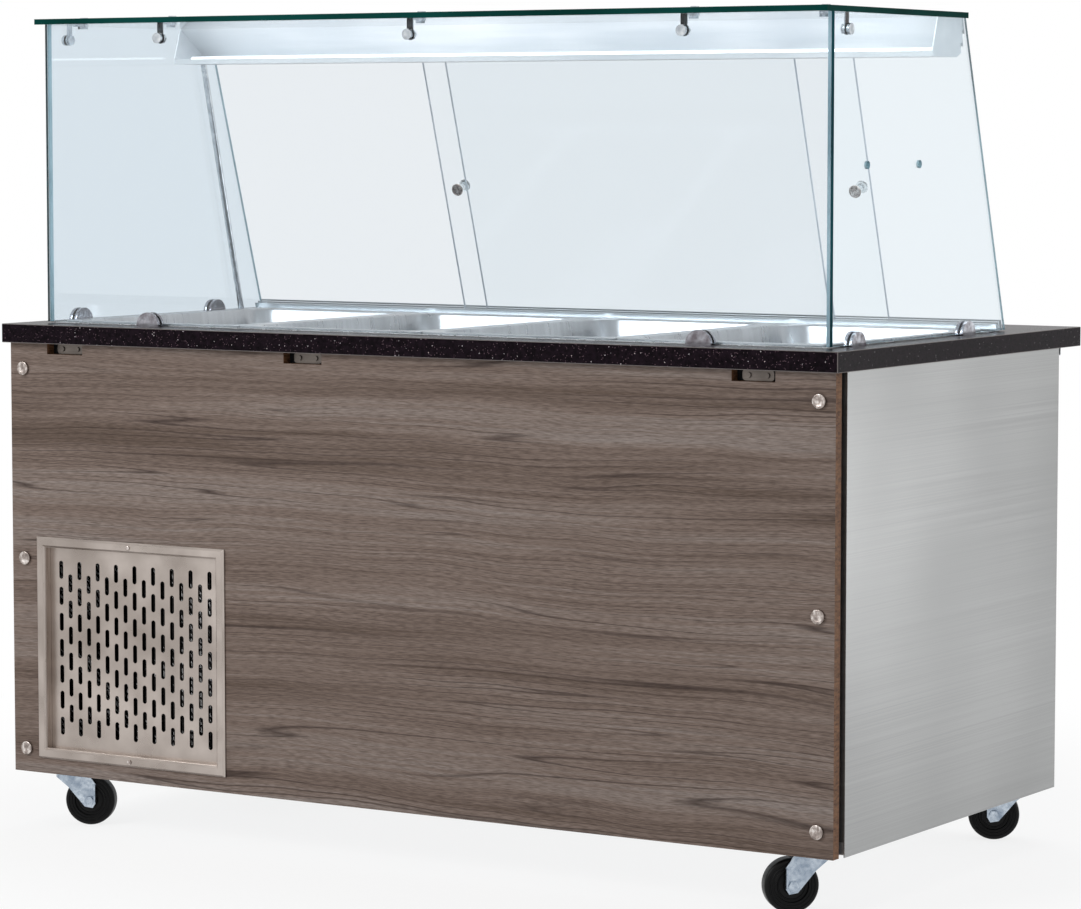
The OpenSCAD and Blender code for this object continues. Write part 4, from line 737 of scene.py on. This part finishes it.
# %% [markdown]
# A sliding pane is pulled by a knob on the server's side: clear acrylic, turned with a waist
# for the fingers, and held through the glass by a screw whose steel disc shows in front. Both
# grow from a circle that is pushed up and resized ring by ring, and then lean with the pane.

# %% Pane knobs
PANE_T, DISC_H, KNOB_L = 5 * MM, 3 * MM, 19 * MM
# Radius as a share of the knob's, and height in millimetres
DISC = [(1.0, 0), (1.0, 2.2), (0.92, 3.0), (0.62, 3.0), (0.58, 2.5), (0.2, 2.5), (0.16, 2.9)]
GRIP = [
    (0.72, 0), (0.72, 1.5), (0.58, 4), (0.52, 7), (0.58, 10), (0.8, 13),
    (0.97, 15), (1.0, 16.5), (0.95, 18.2), (0.8, 19), (0.4, 18.6),
]


def turned(name, radius, profile, base, way):
    fresh()
    bpy.ops.mesh.primitive_circle_add(vertices=40, radius=radius * profile[0][0], fill_type="NGON")
    piece = bpy.context.object
    piece.name = name
    bpy.ops.object.mode_set(mode="EDIT")
    bpy.ops.mesh.select_all(action="SELECT")
    for (before, z_before), (share, z) in zip(profile, profile[1:]):
        push((z - z_before) * MM, share / before, share / before)
    bpy.ops.mesh.select_all(action="SELECT")
    bpy.ops.mesh.normals_make_consistent(inside=False)
    bpy.ops.object.mode_set(mode="OBJECT")
    piece.rotation_euler = Vector(way).to_track_quat("Z", "Y").to_euler()
    piece.location = base
    settle(piece)
    return piece


along = Vector(across_pane)
for side in ("front", "rear"):
    low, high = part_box(f"pane_knob_{side}")
    knob_r = (high.x - low.x) / 2
    tip = (low + high) / 2 + along * ((DISC_H + PANE_T + KNOB_L) / 2 - KNOB_L)
    grip = turned(f"knob_grip_{side}", knob_r, GRIP, tip, along)
    disc = turned(f"knob_disc_{side}", knob_r - 0.2 * MM, DISC, tip - along * PANE_T, -along)
    dress(grip, acrylic, f"sliding_pane_{side}", [f"pane_knob_{side}"])
    dress(disc, cap_steel, f"sliding_pane_{side}")
    print(side, "knob at, mm:", [round(c / MM) for c in tip])

# %% [markdown]
# Sheet, sawn board and castings never end in a razor edge. A welded, bevelled skin on these
# solids rounds their edges by a fraction of a millimetre, enough for each to draw a fine line
# of light. It is a modifier, so the solid under it keeps its shape.

# %% Eased edges
EASED = {"grille_frame": 0.5, "rail_brackets": 0.3, "glass_shoes": 0.6}
for name, width_mm in EASED.items():
    weld = nodes[name].modifiers.new("weld", "WELD")
    weld.merge_threshold = 0.005 * MM
    ease = nodes[name].modifiers.new("ease", "BEVEL")
    ease.width = width_mm * MM
    ease.segments = 2
    ease.limit_method = "ANGLE"
    ease.angle_limit = math.radians(50)
    ease.use_clamp_overlap = True
print("eased edges, mm:", EASED)

# %% [markdown]
# The floor is a plain pale sheet that takes the object's shadow near it and turns to the same
# white as the backdrop further out. Only rays that look at it, straight or through metal and
# glass, see that white: it lights nothing.


# %% Floor and backdrop
def looking(tree):
    """1 for a ray from the camera, straight or by way of metal or glass, and 0 for a light path."""
    rays = add(tree, "LightPath")
    camera_ray, mirror_ray = rays.outputs["Is Camera Ray"], rays.outputs["Is Glossy Ray"]
    seen = add(tree, "Math", {0: camera_ray, 1: mirror_ray}, operation="MAXIMUM")
    return add(tree, "Math", {0: seen, 1: rays.outputs["Is Transmission Ray"]}, operation="MAXIMUM")


pale_floor, tree = start("pale_floor")
place = add(tree, "TexCoord").outputs["Object"]
far = add(tree, "VectorMath", {0: place}, operation="LENGTH").outputs["Value"]
# In metres from the middle: where the shadow's ring ends and where the floor is all white
SHADOW_RING, WHITE_BEYOND = 0.7, 1.7
fade = add(tree, "MapRange", {
    "Value": far, "From Min": SHADOW_RING, "From Max": WHITE_BEYOND, "To Min": 0.8, "To Max": 1.0,
}, interpolation_type="SMOOTHSTEP")
amount = add(tree, "Math", {0: fade, 1: looking(tree)}, operation="MULTIPLY")
matt = add(tree, "BsdfDiffuse", {"Color": linear("#f6f6f6")})
white = add(tree, "Emission", {"Color": (1, 1, 1, 1), "Strength": 1.0})
add(tree, "OutputMaterial", {"Surface": add(tree, "MixShader", {0: amount, 1: matt, 2: white})})

fresh()
FLOOR_RADIUS = 40
bpy.ops.mesh.primitive_circle_add(vertices=96, radius=FLOOR_RADIUS, fill_type="NGON", location=(0, 0, 0))
floor = bpy.context.object
floor.name = "floor"
floor.data.materials.append(pale_floor)

world = bpy.data.worlds.new("studio")
bpy.context.scene.world = world
world.use_nodes = True
tree = world.node_tree
tree.nodes.clear()
soft = add(tree, "Background", {"Color": linear("#f6f8fa"), "Strength": 0.55})
white = add(tree, "Background", {"Color": (1, 1, 1, 1), "Strength": 1.0})
add(tree, "OutputWorld", {"Surface": add(tree, "MixShader", {0: looking(tree), 1: soft, 2: white})})
print("floor radius, m:", FLOOR_RADIUS, "world nodes:", len(tree.nodes))

# %% [markdown]
# Big soft boxes, as a catalogue studio has: the key at the front left that lights the wood, a
# weak fill on the right, one over the food, and a small one behind on the right, which the
# brushed side catches most near the front, so that the side darkens towards the back.


# %% Lamps
def soft_box(name, place, target, width, power, mirrored):
    data = bpy.data.lights.new(name, "AREA")
    data.shape = "RECTANGLE"
    data.size = width
    data.size_y = width * 0.7
    data.energy = power
    lamp = bpy.data.objects.new(name, data)
    bpy.context.collection.objects.link(lamp)
    lamp.location = place
    lamp.rotation_euler = (Vector(target) - Vector(place)).to_track_quat("-Z", "Y").to_euler()
    lamp.visible_camera = False
    lamp.visible_glossy = mirrored


LAMPS = {
    "key": ((-2.2, -4.2, 3.0), (0, 0, 0.5), 2.6, 110, True),
    "fill": ((4.2, -1.6, 2.4), (0, 0, 0.6), 2.2, 14, False),
    "over": ((0, 1.5, 4.0), (0, 0, 0.7), 3.0, 45, False),
    "edge": ((2.2, 1.3, 0.35), (0.7, -0.3, 0.4), 0.9, 5, True),
}
for name, settings in LAMPS.items():
    soft_box(name, *settings)
print("lamps, watts:", {name: settings[3] for name, settings in LAMPS.items()})

# %% [markdown]
# The camera stands where the photographer stood: its place, turn and lens were solved from the
# straight edges of the object in the photograph.

# %% Camera
camera_data = bpy.data.cameras.new("camera")
camera_data.lens = 130.36
camera_data.sensor_width = 36
camera = bpy.data.objects.new("camera", camera_data)
camera.location = (3.062, -4.889, 1.045)
camera.rotation_euler = (math.radians(85.228), 0, math.radians(32.005))
bpy.context.collection.objects.link(camera)
bpy.context.scene.camera = camera
bpy.context.scene.view_settings.view_transform = "Standard"
print("camera distance from the middle, m:", round((camera.location - Vector((0, 0, 0.6))).length, 2))
